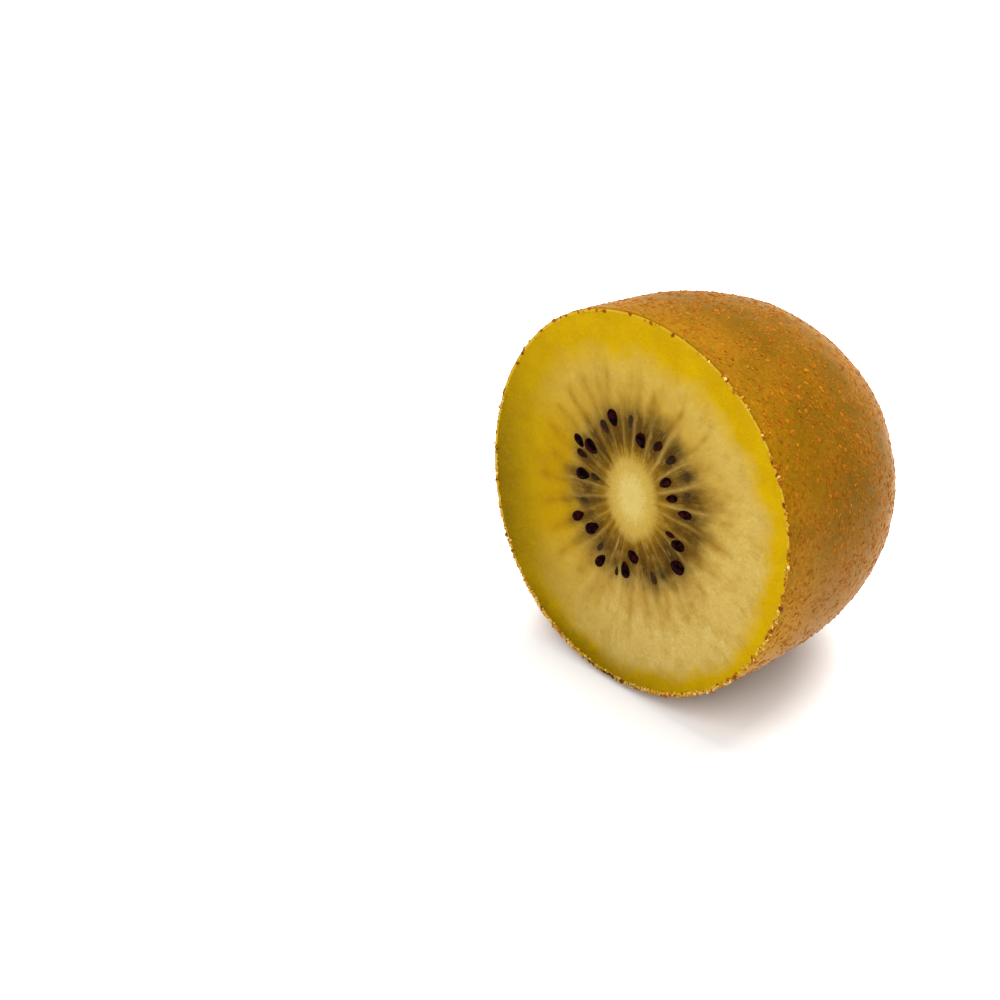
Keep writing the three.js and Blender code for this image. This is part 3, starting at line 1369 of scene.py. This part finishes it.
class Scatter(Graph):
    """A geometry node tree that sets small grains on points or on a surface.

    It always ends in Realize Instances and Set Material.
    """

    rough_scale: float = 3200.0  # how many features of the roughening noise there are in a metre

    def __init__(self, name: str, numbers: dict[str, float]) -> None:
        """Start the tree.

        Args:
            name: the tree's name.
            numbers: its named number inputs and their values.
        """
        super().__init__(bpy.data.node_groups.new(name, "GeometryNodeTree"))
        face = self.tree.interface
        face.new_socket("Geometry", in_out="INPUT", socket_type="NodeSocketGeometry")
        face.new_socket("Geometry", in_out="OUTPUT", socket_type="NodeSocketGeometry")
        for label in numbers:
            face.new_socket(label, in_out="INPUT", socket_type="NodeSocketFloat")
        self.numbers = numbers
        self.start = self.node("NodeGroupInput")

    def given(self, label: str) -> Value:
        """One of the tree's own inputs."""
        return Value(self, self.start.outputs[label])

    def between(self, low: str, high: str, share: Value) -> Value:
        """A number between two of the tree's own inputs."""
        return self.given(low) + share * (self.given(high) - self.given(low))

    def random(self, low: float, high: float, seed: int) -> Value:
        """A random number for each grain, between two."""
        inputs = {2: low, 3: high, "Seed": seed}
        return Value(self, self.node("FunctionNodeRandomValue", {"data_type": "FLOAT"}, inputs).outputs[1])

    def own(self, name: str, kind: str = "FLOAT") -> bpy.types.NodeSocket:
        """A stored number or vector of the base's points."""
        made = self.node("GeometryNodeInputNamedAttribute", {"data_type": kind}, {"Name": name})
        return made.outputs["Attribute"]

    def stored(self, geometry: Any, mark: Mark, value: Any) -> bpy.types.NodeSocket:
        """Store one number on each grain.

        Args:
            geometry: the grains.
            mark: which number it is.
            value: the number.

        Returns:
            The grains with the number on them.
        """
        settings = {"data_type": "FLOAT", "domain": "INSTANCE"}
        inputs = {"Geometry": geometry, "Name": mark.value, "Value": value}
        return self.node("GeometryNodeStoreNamedAttribute", settings, inputs).outputs["Geometry"]

    def end(self, geometry: Any, material: bpy.types.Material) -> None:
        """Realize the grains, roughen them, give them their material and close the tree.

        Args:
            geometry: the grains.
            material: their material.
        """
        real = self.node("GeometryNodeRealizeInstances", None, {"Geometry": geometry})
        if "Rough" in self.numbers:
            real = self._roughened(real.outputs[0])
        soft = self.node("GeometryNodeSetShadeSmooth", None, {"Geometry": real.outputs[0]})
        inputs = {"Geometry": soft.outputs[0], "Material": material}
        dressed = self.node("GeometryNodeSetMaterial", None, inputs)
        out = self.node("NodeGroupOutput")
        self.tree.links.new(dressed.outputs[0], out.inputs[0])

    def _roughened(self, geometry: Any) -> bpy.types.Node:
        """Move every point by its own place in a noise, to make each grain irregular.

        Args:
            geometry: the grains.

        Returns:
            The node that gives the irregular grains.
        """
        place = self.node("GeometryNodeInputPosition").outputs[0]
        inputs = {"Vector": place, "Scale": self.rough_scale, "Detail": 1.0}
        noise = self.node("ShaderNodeTexNoise", None, inputs)
        inputs = {0: noise.outputs["Color"], 1: (0.5, 0.5, 0.5)}
        centred = self.node("ShaderNodeVectorMath", {"operation": "SUBTRACT"}, inputs)
        inputs = {0: centred.outputs[0], "Scale": self.given("Rough") * 2.0}
        moved = self.node("ShaderNodeVectorMath", {"operation": "SCALE"}, inputs)
        inputs = {"Geometry": geometry, "Offset": moved.outputs[0]}
        return self.node("GeometryNodeSetPosition", None, inputs)

    def run(self, base: bpy.types.Object, name: str) -> bpy.types.Object:
        """Run the tree on a base object and keep the result as a plain mesh.

        Args:
            base: the object whose points or surface the grains are set on. It is used up.
            name: the name of the new piece.

        Returns:
            The new piece, at the origin.
        """
        modifier = base.modifiers.new(name, "NODES")
        modifier.node_group = self.tree
        for item in self.tree.interface.items_tree:
            if item.in_out == "INPUT" and item.name in self.numbers:
                modifier[item.identifier] = float(self.numbers[item.name])
        graph = bpy.context.evaluated_depsgraph_get()
        mesh = bpy.data.meshes.new_from_object(base.evaluated_get(graph))
        mesh.name = name
        made = bpy.data.objects.new(name, mesh)
        bpy.context.scene.collection.objects.link(made)
        base.modifiers.remove(modifier)
        bpy.data.objects.remove(base)
        return made


def place_piece(
    piece: bpy.types.Object, slot: Slot, material: bpy.types.Material, nodes: Iterable[str] = ()
) -> bpy.types.Object:
    """Dress a piece, let it ride on the fruit, and hide the solids that it stands for.

    Args:
        piece: the piece. What is past the box of the solids is pressed back to it.
        slot: the record's material slot. It is not used.
        material: its finish.
        nodes: the solids that it replaces.

    Returns:
        The same piece.
    """
    corners = np.zeros(3 * len(piece.data.vertices), dtype=np.float32)
    piece.data.vertices.foreach_get("co", corners)
    low, high = (np.array(corner) for corner in SOLID_BOX)
    least = np.array([low[0] + CLEAR, low[1] + CLEAR, 0.0])
    kept = np.clip(corners.reshape(-1, 3), least, high - CLEAR)
    piece.data.vertices.foreach_set("co", kept.ravel())
    piece.data.update()
    piece.data.materials.clear()
    piece.data.materials.append(material)
    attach(piece, ROOT)
    for node in nodes:
        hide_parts(node)
    LOG.info("%s: %d faces", piece.name, len(piece.data.polygons))
    return piece


@dataclass
class CutBody:
    """The flesh and the core: one cut surface, parted along the core's oval edge."""

    around: int = 720
    flesh_rings: int = 86
    core_rings: int = 18
    dome_rings: int = 12
    spindle_rings: int = 9
    spindle_depth: float = 29.0
    cut_depth: float = 1.0
    finish: CutFinish = field(default_factory=CutFinish)

    def rim(self) -> Point:
        """The flesh's edge, just inside the peel, seen from the middle of the core."""
        return FORM.shell(PEEL, self.clocks(), np.array([0.0]))[0]

    def clocks(self) -> Point:
        """The clock angle of each point of a ring."""
        return np.arange(self.around) * 360 / self.around

    def oval(self) -> Point:
        """Find the line between core and flesh.

        Returns:
            One point for each point of the rim, straight towards it from the core's middle.
        """
        rim = self.rim()
        aim = np.degrees(np.arctan2(rim[:, 0] - CUT.core_right, rim[:, 2] - CUT.core_up))
        return CUT.core_edge(aim)

    def spindle(self, number: int) -> Point:
        """Find one ring of the core's side.

        Args:
            number: which ring, from 0 at the oval edge to spindle_rings at the inner tip.

        Returns:
            The ring's points, in the fruit's own axes.
        """
        angle = number / self.spindle_rings * QUARTER
        middle = np.array([CUT.core_right, 0, CUT.core_up])
        ring = middle + (self.oval() - middle) * math.cos(angle) ** 0.8
        ring[:, 1] = self.spindle_depth * math.sin(angle)
        return ring

    def tip(self) -> Point:
        """The inner tip of the core's spindle."""
        return np.array([[CUT.core_right, self.spindle_depth, CUT.core_up]])

    def build(
        self, name: str, rows: list[Point], sharp: Iterable[int], floor: float = 0
    ) -> bpy.types.Object:
        """Make a piece from its rings and store the cut's marks on it.

        Args:
            name: the piece's name.
            rows: its rings and poles, in the fruit's own axes.
            sharp: the rings that are crisp edges.
            floor: the level that it doesn't go under, in millimetres.

        Returns:
            The piece.
        """
        mesh = RingMesh(self.around)
        for row in rows:
            mesh.add(FORM.lay(row, floor))
        piece = mesh.build(name, sharp)
        points = np.concatenate(rows)
        on_cut = points[:, 1] < self.cut_depth
        flat = points * np.array([1, 0, 1])
        rules = {
            Mark.RAY: CUT.ray_mark,
            Mark.CHAMBER: CUT.chamber_mark,
            Mark.RING: CUT.ring_mark,
            Mark.DASH: CUT.dash_mark,
            Mark.DUSK: CUT.dusk_mark,
            Mark.HAZE: CUT.haze_mark,
            Mark.VEIL: CUT.veil_mark,
            Mark.GOLD: CUT.gold_mark,
            Mark.OLIVE_AND_PAINTED_SHADE: CUT.olive_and_painted_shade_mark,
        }
        for mark, rule in rules.items():
            add_mark(piece, mark, np.where(on_cut, rule(flat), 0.0))
        return piece

    def make_flesh(self) -> bpy.types.Object:
        """Make the golden flesh, with the pocket that the core sits in.

        Returns:
            The piece.
        """
        rows = [self.tip()]
        rows += [self.spindle(number) for number in range(self.spindle_rings - 1, 0, -1)]
        oval, rim = self.oval(), self.rim()
        for share in np.arange(self.flesh_rings + 1) / self.flesh_rings:
            rows.append(CUT.sunk(oval + (rim - oval) * share))
        turns = np.linspace(0, QUARTER, self.dome_rings + 1)[1:-1]
        rows += list(FORM.shell(PEEL, self.clocks(), turns))
        rows.append(FORM.shell(PEEL, np.array([0.0]), np.array([QUARTER]))[0])
        first = self.spindle_rings
        piece = self.build("flesh_piece", rows, (first, first + self.flesh_rings), PEEL)
        return place_piece(piece, Slot.FLESH, self.finish.make("cut_flesh"), ["flesh"])

    def make_core(self) -> bpy.types.Object:
        """Make the pale core, level with the flesh and tapering inwards.

        Returns:
            The piece.
        """
        middle = np.array([[CUT.core_right, 0, CUT.core_up]])
        oval = self.oval()
        rows = [CUT.sunk(middle)]
        for number in range(1, self.core_rings + 1):
            rows.append(CUT.sunk(middle + (oval - middle) * number / self.core_rings))
        rows += [self.spindle(number) for number in range(1, self.spindle_rings)]
        rows.append(self.tip())
        piece = self.build("core_piece", rows, (self.core_rings,))
        return place_piece(piece, Slot.CORE, self.finish.make("cut_core"), ["core"])


@dataclass(frozen=True)
class Flecks:
    """One size of rusty fleck on the peel.

    density is how many there are at most on a square metre, least and most are the radius in
    millimetres, and corners is how many sides the round grain has.
    """

    name: str
    density: float
    least: float
    most: float
    corners: int
    seed: int


LARGE_FLECKS = Flecks("flecks", density=1.75e6, least=0.2, most=0.46, corners=6, seed=40)
FINE_FLECKS = Flecks("fine_flecks", density=3.0e6, least=0.1, most=0.24, corners=5, seed=50)


@dataclass
class Skin:
    """The peel: a thin uneven cup with a frayed edge, flecks, fuzz and a stem scar.

    The scar's profile gives each of its rings as a share of its radius and a height in
    millimetres over the bottom of the dimple.
    """

    around: int = 420
    outer_rings: int = 110
    inner_rings: int = 14
    field_rings: int = 60
    field_around: int = 160
    swell: Waves = Waves(10, 21)
    dints: Waves = Waves(2.6, 22, 40)
    fray_fine: Waves = Waves(0.9, 31, 40)
    fray_wide: Waves = Waves(4, 32)
    scar_around: int = 96
    scar_radius: float = 2.3
    scar_root: float = 0.45
    scar_middle: float = 0.5
    scar_profile: tuple[tuple[float, float], ...] = (
        (1.12, -0.45), (1.1, 0.05), (1.0, 0.45), (0.86, 0.66), (0.72, 0.6), (0.5, 0.42),
        (0.3, 0.46), (0.12, 0.5),
    )
    finish: SkinFinish = field(default_factory=SkinFinish)
    fleck_finish: GrainFinish = GrainFinish(
        rgb(134, 76, 0), rgb(154, 88, 0), rgb(176, 109, 10), roughness=0.7
    )
    fuzz_finish: GrainFinish = GrainFinish(
        rgb(104, 72, 8), rgb(118, 82, 18), rgb(134, 98, 40), roughness=0.9
    )
    scar_finish: GrainFinish = GrainFinish(
        rgb(60, 40, 22), rgb(84, 58, 32), rgb(104, 76, 46), roughness=0.8
    )

    def outside(self, clocks: Point, turns: Point) -> Point:
        """Find the uneven outside.

        Args:
            clocks: clock angles in degrees, one for each column.
            turns: angles from 0 at the cut to a quarter turn at the stem end, one for each row.

        Returns:
            Points in the fruit's own axes, rows by columns by 3.
        """
        base = FORM.shell(0, clocks, turns)
        inward = FORM.shell(1, clocks, turns) - base
        inward /= np.linalg.norm(inward, axis=-1, keepdims=True)
        sunk = 0.13 + 0.09 * self.swell(base) + 0.035 * self.dints(base)
        quiet = 0.35 + 0.65 * smooth(0, 0.25, turns)[:, None]
        return base + inward * (sunk * quiet)[..., None]

    def make_shell(self) -> bpy.types.Object:
        """Make the peel itself, from its inside to its frayed edge and over its outside.

        Returns:
            The piece.
        """
        clocks = np.arange(self.around) * 360 / self.around
        mesh = RingMesh(self.around)
        inner_turns = np.linspace(QUARTER, 0, self.inner_rings + 1)
        mesh.add(FORM.lay(FORM.shell(PEEL, np.array([0.0]), np.array([QUARTER]))[0], PEEL))
        for row in FORM.shell(PEEL, clocks, inner_turns[1:]):
            mesh.add(FORM.lay(row, PEEL))
        outside = self.outside(clocks, np.linspace(0, QUARTER, self.outer_rings + 1))
        inner_edge, outer_edge = FORM.shell(PEEL, clocks, np.array([0.0]))[0], outside[0]
        fray = self.fray_fine(outer_edge) * 0.04 + self.fray_wide(outer_edge) * 0.02
        for share, drop in ((0.3, 0.0), (0.75, 0.02)):
            lip = inner_edge + (outer_edge - inner_edge) * share
            lip[:, 1] += np.maximum(fray + drop, 0.01)
            mesh.add(FORM.lay(lip))
        for row in outside[:-1]:
            mesh.add(FORM.lay(row))
        mesh.add(FORM.lay(outside[-1][:1]))
        piece = mesh.build("skin_piece")
        on_lip = np.zeros(len(piece.data.vertices))
        on_lip[np.concatenate(mesh.rows[self.inner_rings : self.inner_rings + 3])] = 1
        add_mark(piece, Mark.LIP, on_lip)
        return place_piece(piece, Slot.SKIN, self.finish.make("peel"), ["skin"])

    def base(self, name: str, lift: float) -> bpy.types.Object:
        """Make a plain copy of the outside to scatter grains on.

        Args:
            name: the object's name.
            lift: how far it stays off the surface that the half lies on, in millimetres.

        Returns:
            The object.
        """
        rings, around = self.field_rings, self.field_around
        clocks = np.arange(around) * 360 / around
        turns = np.linspace(0.005, QUARTER - 0.06, rings)
        laid = FORM.lay(self.outside(clocks, turns)).reshape(-1, 3)
        faces = []
        for i in range(0, (rings - 1) * around, around):
            for j in range(around):
                k = (j + 1) % around
                corners = (i + j, i + around + j, i + around + k, i + k)
                if min(laid[corner, 2] for corner in corners) > lift * MM:
                    faces.append(corners)
        return mesh_object(name, laid, faces)

    def scatter(
        self, label: str, numbers: dict[str, float], grain: Callable[[Scatter], Any],
        material: bpy.types.Material, seed: int
    ) -> Scatter:
        """Make a tree that scatters grains over a surface, each lying along it.

        Args:
            label: the tree's name.
            numbers: its inputs: density in grains a square metre, clumps, the grain's least
                and greatest length in metres, its height as a share, its turn and roughness.
            grain: makes the grain's mesh socket in the tree.
            material: the grains' finish.
            seed: the seed of every draw.

        Returns:
            The tree.
        """
        tree = Scatter(label, numbers)
        place = tree.node("GeometryNodeInputPosition").outputs[0]
        inputs = {"Vector": place, "Scale": 300.0, "Detail": 2.0}
        clump = Value(tree, tree.node("ShaderNodeTexNoise", None, inputs).outputs[0])
        _, _, height = tree.parts(place)
        share = clump.step(0.36, 0.62) * tree.given("Clumps") + (1 - tree.given("Clumps"))
        share = share * (0.45 + 0.55 * height.step(8 * MM, 27 * MM))
        spread = tree.node(
            "GeometryNodeDistributePointsOnFaces",
            {"distribute_method": "RANDOM"},
            {"Mesh": tree.start.outputs[0], "Density": tree.given("Density") * share, "Seed": seed},
        )
        axis = (0.0, math.cos(FORM.lean), -math.sin(FORM.lean))
        level = tree.node(
            "FunctionNodeAlignRotationToVector",
            {"axis": "Y", "pivot_axis": "Z"},
            {"Rotation": spread.outputs["Rotation"], "Vector": axis},
        )
        turn = tree.random(-1.0, 1.0, seed + 1) * tree.given("Turn")
        turned = tree.node(
            "FunctionNodeRotateRotation",
            {"rotation_space": "LOCAL"},
            {"Rotation": level.outputs[0], "Rotate By": tree.vector(0.0, 0.0, turn)},
        )
        length = tree.between("Least", "Most", tree.random(0.0, 1.0, seed + 2) ** 1.6)
        slim = tree.random(0.32, 0.75, seed + 3)
        set_on = tree.node(
            "GeometryNodeInstanceOnPoints",
            None,
            {
                "Points": spread.outputs["Points"],
                "Instance": grain(tree),
                "Rotation": turned.outputs[0],
                "Scale": tree.vector(length, length * slim, length * tree.given("Height")),
            },
        )
        tone = tree.random(0.0, 1.0, seed + 4)
        tree.end(tree.stored(set_on.outputs[0], Mark.TONE, tone), material)
        return tree

    def make_flecks(self, flecks: Flecks) -> bpy.types.Object:
        """Make raised rusty flecks all over the peel.

        Args:
            flecks: their size, how many there are, and their piece's name.

        Returns:
            The piece.
        """
        numbers = {
            "Density": flecks.density,
            "Clumps": 0.8,
            "Least": flecks.least * MM,
            "Most": flecks.most * MM,
            "Height": 0.17,
            "Turn": 1.2,
            "Rough": 0.4 * flecks.most * MM,
        }

        def grain(tree: Scatter) -> Any:
            """A low round grain with a radius of 1."""
            size = {"Radius": 1.0, "Segments": flecks.corners, "Rings": flecks.corners - 2}
            return tree.node("GeometryNodeMeshUVSphere", None, size).outputs[0]

        material = self.fleck_finish.make(flecks.name)
        tree = self.scatter(flecks.name, numbers, grain, material, flecks.seed)
        piece = tree.run(self.base(flecks.name + "_field", 0.5), flecks.name)
        return place_piece(piece, Slot.SKIN, material)

    def make_fuzz(self) -> bpy.types.Object:
        """Make the short fine fuzz.

        Returns:
            The piece.
        """
        numbers = {
            "Density": 1.3e6,
            "Clumps": 0.3,
            "Least": 0.012 * MM,
            "Most": 0.016 * MM,
            "Height": 1.0,
            "Turn": math.pi,
            "Rough": 0.0,
        }

        def grain(tree: Scatter) -> Any:
            """A leaning hair, much longer than it is thick."""
            size = {"Vertices": 3, "Radius Top": 0.1, "Radius Bottom": 1.0, "Depth": 24.0}
            cone = tree.node("GeometryNodeMeshCone", {"fill_type": "NONE"}, size)
            leaning = {"Geometry": cone.outputs["Mesh"], "Rotation": (0.95, 0.0, 0.0)}
            return tree.node("GeometryNodeTransform", None, leaning).outputs[0]

        material = self.fuzz_finish.make("fuzz")
        tree = self.scatter("fuzz", numbers, grain, material, 60)
        piece = tree.run(self.base("fuzz_field", 0.7), "fuzz")
        return place_piece(piece, Slot.SKIN, material)

    def make_scar(self) -> bpy.types.Object:
        """Make the woody stem scar in the dimple at the far end.

        Returns:
            The piece.
        """
        angle = np.arange(self.scar_around) * 2 * math.pi / self.scar_around
        foot = np.array([-FORM.end_left, FORM.half_length - FORM.dimple_depth, -FORM.end_drop])
        mesh = RingMesh(self.scar_around)
        mesh.add(FORM.lay(foot + np.array([[0, -self.scar_root, 0]])))
        uneven = 1 + 0.05 * np.cos(angle * 5) + 0.03 * np.cos(angle * 13)
        for share, height in self.scar_profile:
            r = self.scar_radius * share * uneven
            cracks = 0.08 * np.cos(angle * 17) * (0.3 < share < 1.05)
            ring = np.stack([r * np.sin(angle), height + cracks, r * np.cos(angle)], axis=-1)
            mesh.add(FORM.lay(foot + ring))
        mesh.add(FORM.lay(foot + np.array([[0, self.scar_middle, 0]])))
        piece = mesh.build("stem_scar")
        add_mark(piece, Mark.TONE, np.full(len(piece.data.vertices), 0.5))
        return place_piece(piece, Slot.SKIN, self.scar_finish.make("woody_scar"))


@dataclass(frozen=True)
class Crumbs:
    """One sort of torn crumb along the edge of the cut, all in millimetres.

    A crumb is kept where a random draw is under a chance, which is rest all round and more on
    the sides. least and most are its radius, and deep is how far under the outside it may be.
    """

    name: str
    amount: int
    least: float
    most: float
    deep: float
    sides: tuple[Side, ...]
    rest: float
    seed: int
    finish: GrainFinish

    def points(self) -> Point:
        """Draw the places of the crumbs.

        Returns:
            Their points, in the fruit's own axes.
        """
        draw = np.random.default_rng(self.seed)
        clocks = draw.uniform(0, 360, self.amount * 4)
        chance = self.rest + np.maximum.reduce([side.at(clocks) for side in self.sides])
        clocks = clocks[draw.uniform(0, 1, len(clocks)) < chance]
        depth = draw.uniform(0.0, self.deep, len(clocks))
        spots = [FORM.shell(d, np.array([c]), np.array([0.0]))[0, 0] for d, c in zip(depth, clocks)]
        rim = np.stack(spots[: self.amount])
        rim[:, 1] += draw.uniform(-0.06, 0.16, len(rim))
        return rim

    def make(self) -> bpy.types.Object:
        """Set a crumb on each place, each with its own turn, size and tone.

        Returns:
            The piece.
        """
        base = mesh_object(self.name + "_points", FORM.lay(self.points(), 0.2))
        tree = Scatter(self.name, {"Least": self.least * MM, "Most": self.most * MM})
        length = tree.between("Least", "Most", tree.random(0.0, 1.0, self.seed + 1) ** 2.0)
        long, low = tree.random(0.8, 1.7, self.seed + 2), tree.random(0.5, 0.9, self.seed + 3)
        turns = [tree.random(0.0, 2 * math.pi, self.seed + k) for k in (4, 5, 6)]
        size = {"Radius": 1.0, "Segments": 7, "Rings": 5}
        set_on = tree.node(
            "GeometryNodeInstanceOnPoints",
            None,
            {
                "Points": tree.start.outputs[0],
                "Instance": tree.node("GeometryNodeMeshUVSphere", None, size).outputs[0],
                "Rotation": tree.vector(*turns),
                "Scale": tree.vector(length * long, length, length * low),
            },
        )
        material = self.finish.make(self.name)
        tone = tree.random(0.0, 1.0, self.seed + 7)
        tree.end(tree.stored(set_on.outputs[0], Mark.TONE, tone), material)
        return place_piece(tree.run(base, self.name), Slot.SKIN, material)


PALE_CRUMBS = Crumbs(
    name="pale_crumbs",
    amount=1800,
    least=0.05,
    most=0.25,
    deep=0.5,
    sides=(Side(182, 62, 0.97), Side(95, 62, 0.05)),
    rest=0.015,
    seed=71,
    finish=GrainFinish(rgb(160, 104, 10), rgb(198, 152, 40), rgb(226, 204, 124), roughness=0.5),
)
RUSTY_CRUMBS = Crumbs(
    name="rusty_crumbs",
    amount=240,
    least=0.12,
    most=0.32,
    deep=0.42,
    sides=(Side(182, 62, 0.26), Side(95, 62, 0.34)),
    rest=0.16,
    seed=81,
    finish=GrainFinish(rgb(112, 56, 6), rgb(156, 84, 8), rgb(172, 114, 20), roughness=0.55),
)


@dataclass
class SeedRing:
    """The seeds on the cut, each half sunk in its chamber, in millimetres."""

    thickness: float = 1.15
    proud: float = 0.36
    taper: float = 0.24
    under: float = 0.08
    sides: int = 28
    rings: int = 18
    finish: SeedFinish = field(default_factory=SeedFinish)

    def base(self) -> bpy.types.Object:
        """Make one point for each seed, with its turn, size and veil.

        Returns:
            The object that holds the points.
        """
        places, turns, sizes = [], [], []
        for seed in SEEDS:
            right, up = seed.middle(CUT)
            sink = self.thickness / 2 - self.proud * (1 - seed.veil) + self.under
            places.append((right, sink, up))
            turn = Matrix.Rotation(math.radians(seed.clock + seed.turn), 4, "Y")
            turns.append(tuple((Matrix.Rotation(-FORM.lean, 4, "X") @ turn).to_euler()))
            sizes.append((seed.width / 2 * MM, self.thickness / 2 * MM, seed.length / 2 * MM))
        base = mesh_object("seed_points", FORM.lay(np.array(places)))
        for name, vectors in (("turn", turns), ("size", sizes)):
            attribute = base.data.attributes.new(name, "FLOAT_VECTOR", "POINT")
            attribute.data.foreach_set("vector", np.array(vectors, dtype=np.float32).ravel())
        add_mark(base, Mark.DEPTH, np.array([seed.veil for seed in SEEDS]))
        return base

    def make(self) -> bpy.types.Object:
        """Set one tapered grain on each seed's point.

        Returns:
            The piece.
        """
        tree = Scatter("seeds", {"Taper": self.taper})
        size = {"Segments": self.sides, "Rings": self.rings, "Radius": 1.0}
        ball = tree.node("GeometryNodeMeshUVSphere", None, size)
        x, y, z = tree.parts(tree.node("GeometryNodeInputPosition").outputs[0])
        slim = 1 + z * tree.given("Taper")
        inputs = {"Geometry": ball.outputs[0], "Position": tree.vector(x * slim, y * slim, z)}
        shaped = tree.node("GeometryNodeSetPosition", None, inputs)
        set_on = tree.node(
            "GeometryNodeInstanceOnPoints",
            None,
            {
                "Points": tree.start.outputs[0],
                "Instance": shaped.outputs[0],
                "Rotation": tree.own("turn", "FLOAT_VECTOR"),
                "Scale": tree.own("size", "FLOAT_VECTOR"),
            },
        )
        material = self.finish.make("seed_coat")
        veil = tree.own(Mark.DEPTH.value)
        tree.end(tree.stored(set_on.outputs[0], Mark.VEIL, veil), material)
        return place_piece(tree.run(self.base(), "seed_ring"), Slot.SEED, material)


@dataclass(frozen=True)
class Lamp:
    """A square soft light: its place in metres right, up and back as the camera sees it."""

    name: str
    place: tuple[float, float, float]
    size: float
    watts: float
    colour: Colour


@dataclass
class Studio:
    """A pale sheet, soft lights and the camera, which aims in millimetres beside the fruit."""

    azimuth: float = math.radians(46.25)
    elevation: float = math.radians(32)
    aim_right: float = 17.22
    aim_up: float = -0.73
    distance: float = 323.24
    lens: float = 90.0
    sensor: float = 36.0
    sheet: float = 3.0
    sky: float = 0.62
    lamps: tuple[Lamp, ...] = (
        Lamp("key", (0.2, 0.85, 0.12), 0.75, 14.0, (1.0, 0.99, 0.97)),
        Lamp("front", (-0.2, 0.3, 0.9), 0.8, 6.0, (1.0, 1.0, 1.0)),
    )

    def axes(self) -> tuple[Vector, Vector, Vector]:
        """Find how the camera looks.

        Returns:
            Its right, up and back directions in the part's frame.
        """
        ca, sa = math.cos(self.azimuth), math.sin(self.azimuth)
        ce, se = math.cos(self.elevation), math.sin(self.elevation)
        return Vector((ca, sa, 0)), Vector((-sa * se, ca * se, ce)), Vector((sa * ce, -ca * ce, se))

    def make_camera(self) -> None:
        """Put the camera where the photograph was taken from."""
        right, up, back = self.axes()
        middle = Vector(FORM.place())
        spot = middle - right * self.aim_right - up * self.aim_up + back * self.distance
        data = bpy.data.cameras.new("camera")
        data.lens, data.sensor_width = self.lens, self.sensor
        data.clip_start, data.clip_end = 0.01, 20.0
        camera = bpy.data.objects.new("camera", data)
        facing = Matrix((right, up, back)).transposed().to_4x4()
        camera.matrix_world = Matrix.Translation(spot * MM) @ facing
        bpy.context.scene.collection.objects.link(camera)
        bpy.context.scene.camera = camera

    def make_light(self, lamp: Lamp) -> None:
        """Hang one light, aimed at the fruit.

        Args:
            lamp: the light.
        """
        spot = sum((axis * far for axis, far in zip(self.axes(), lamp.place)), Vector())
        data = bpy.data.lights.new(lamp.name, "AREA")
        data.size, data.energy, data.color = lamp.size, lamp.watts, lamp.colour
        light = bpy.data.objects.new(lamp.name, data)
        aim = (Vector((0, 0, 0.02)) - spot).to_track_quat("-Z", "Y").to_matrix().to_4x4()
        light.matrix_world = Matrix.Translation(spot) @ aim
        bpy.context.scene.collection.objects.link(light)

    def make_sky(self) -> None:
        """Light everything evenly from an even pale sky."""
        world = bpy.data.worlds.new("sky")
        world.use_nodes = True
        background = world.node_tree.nodes["Background"]
        background.inputs["Color"].default_value = (1, 1, 1, 1)
        background.inputs["Strength"].default_value = self.sky
        bpy.context.scene.world = world

    def make_floor(self) -> None:
        """Lay a wide white sheet under the fruit."""
        corners = np.array([(-1, -1, 0), (1, -1, 0), (1, 1, 0), (-1, 1, 0)]) * self.sheet
        floor = mesh_object("floor", corners, [(0, 1, 2, 3)])
        floor.data.materials.append(FloorFinish().make("sheet"))

    def make(self) -> None:
        """Set up everything that isn't the fruit."""
        self.make_camera()
        self.make_floor()
        self.make_sky()
        for lamp in self.lamps:
            self.make_light(lamp)
        settings = bpy.context.scene.view_settings
        settings.view_transform = "Standard"
        settings.look = "None"
        settings.exposure = 0.0
        settings.gamma = 1.0


def main() -> None:
    """Light the sheet, build the half and dress it."""
    logging.basicConfig(level=logging.INFO, format="%(name)s: %(message)s")
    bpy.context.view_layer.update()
    studio = Studio()
    studio.make()
    body, skin = CutBody(), Skin()
    body.make_flesh()
    body.make_core()
    skin.make_shell()
    skin.make_flecks(LARGE_FLECKS)
    skin.make_flecks(FINE_FLECKS)
    skin.make_fuzz()
    skin.make_scar()
    PALE_CRUMBS.make()
    RUSTY_CRUMBS.make()
    SeedRing().make()


if __name__ == "__main__":
    main()
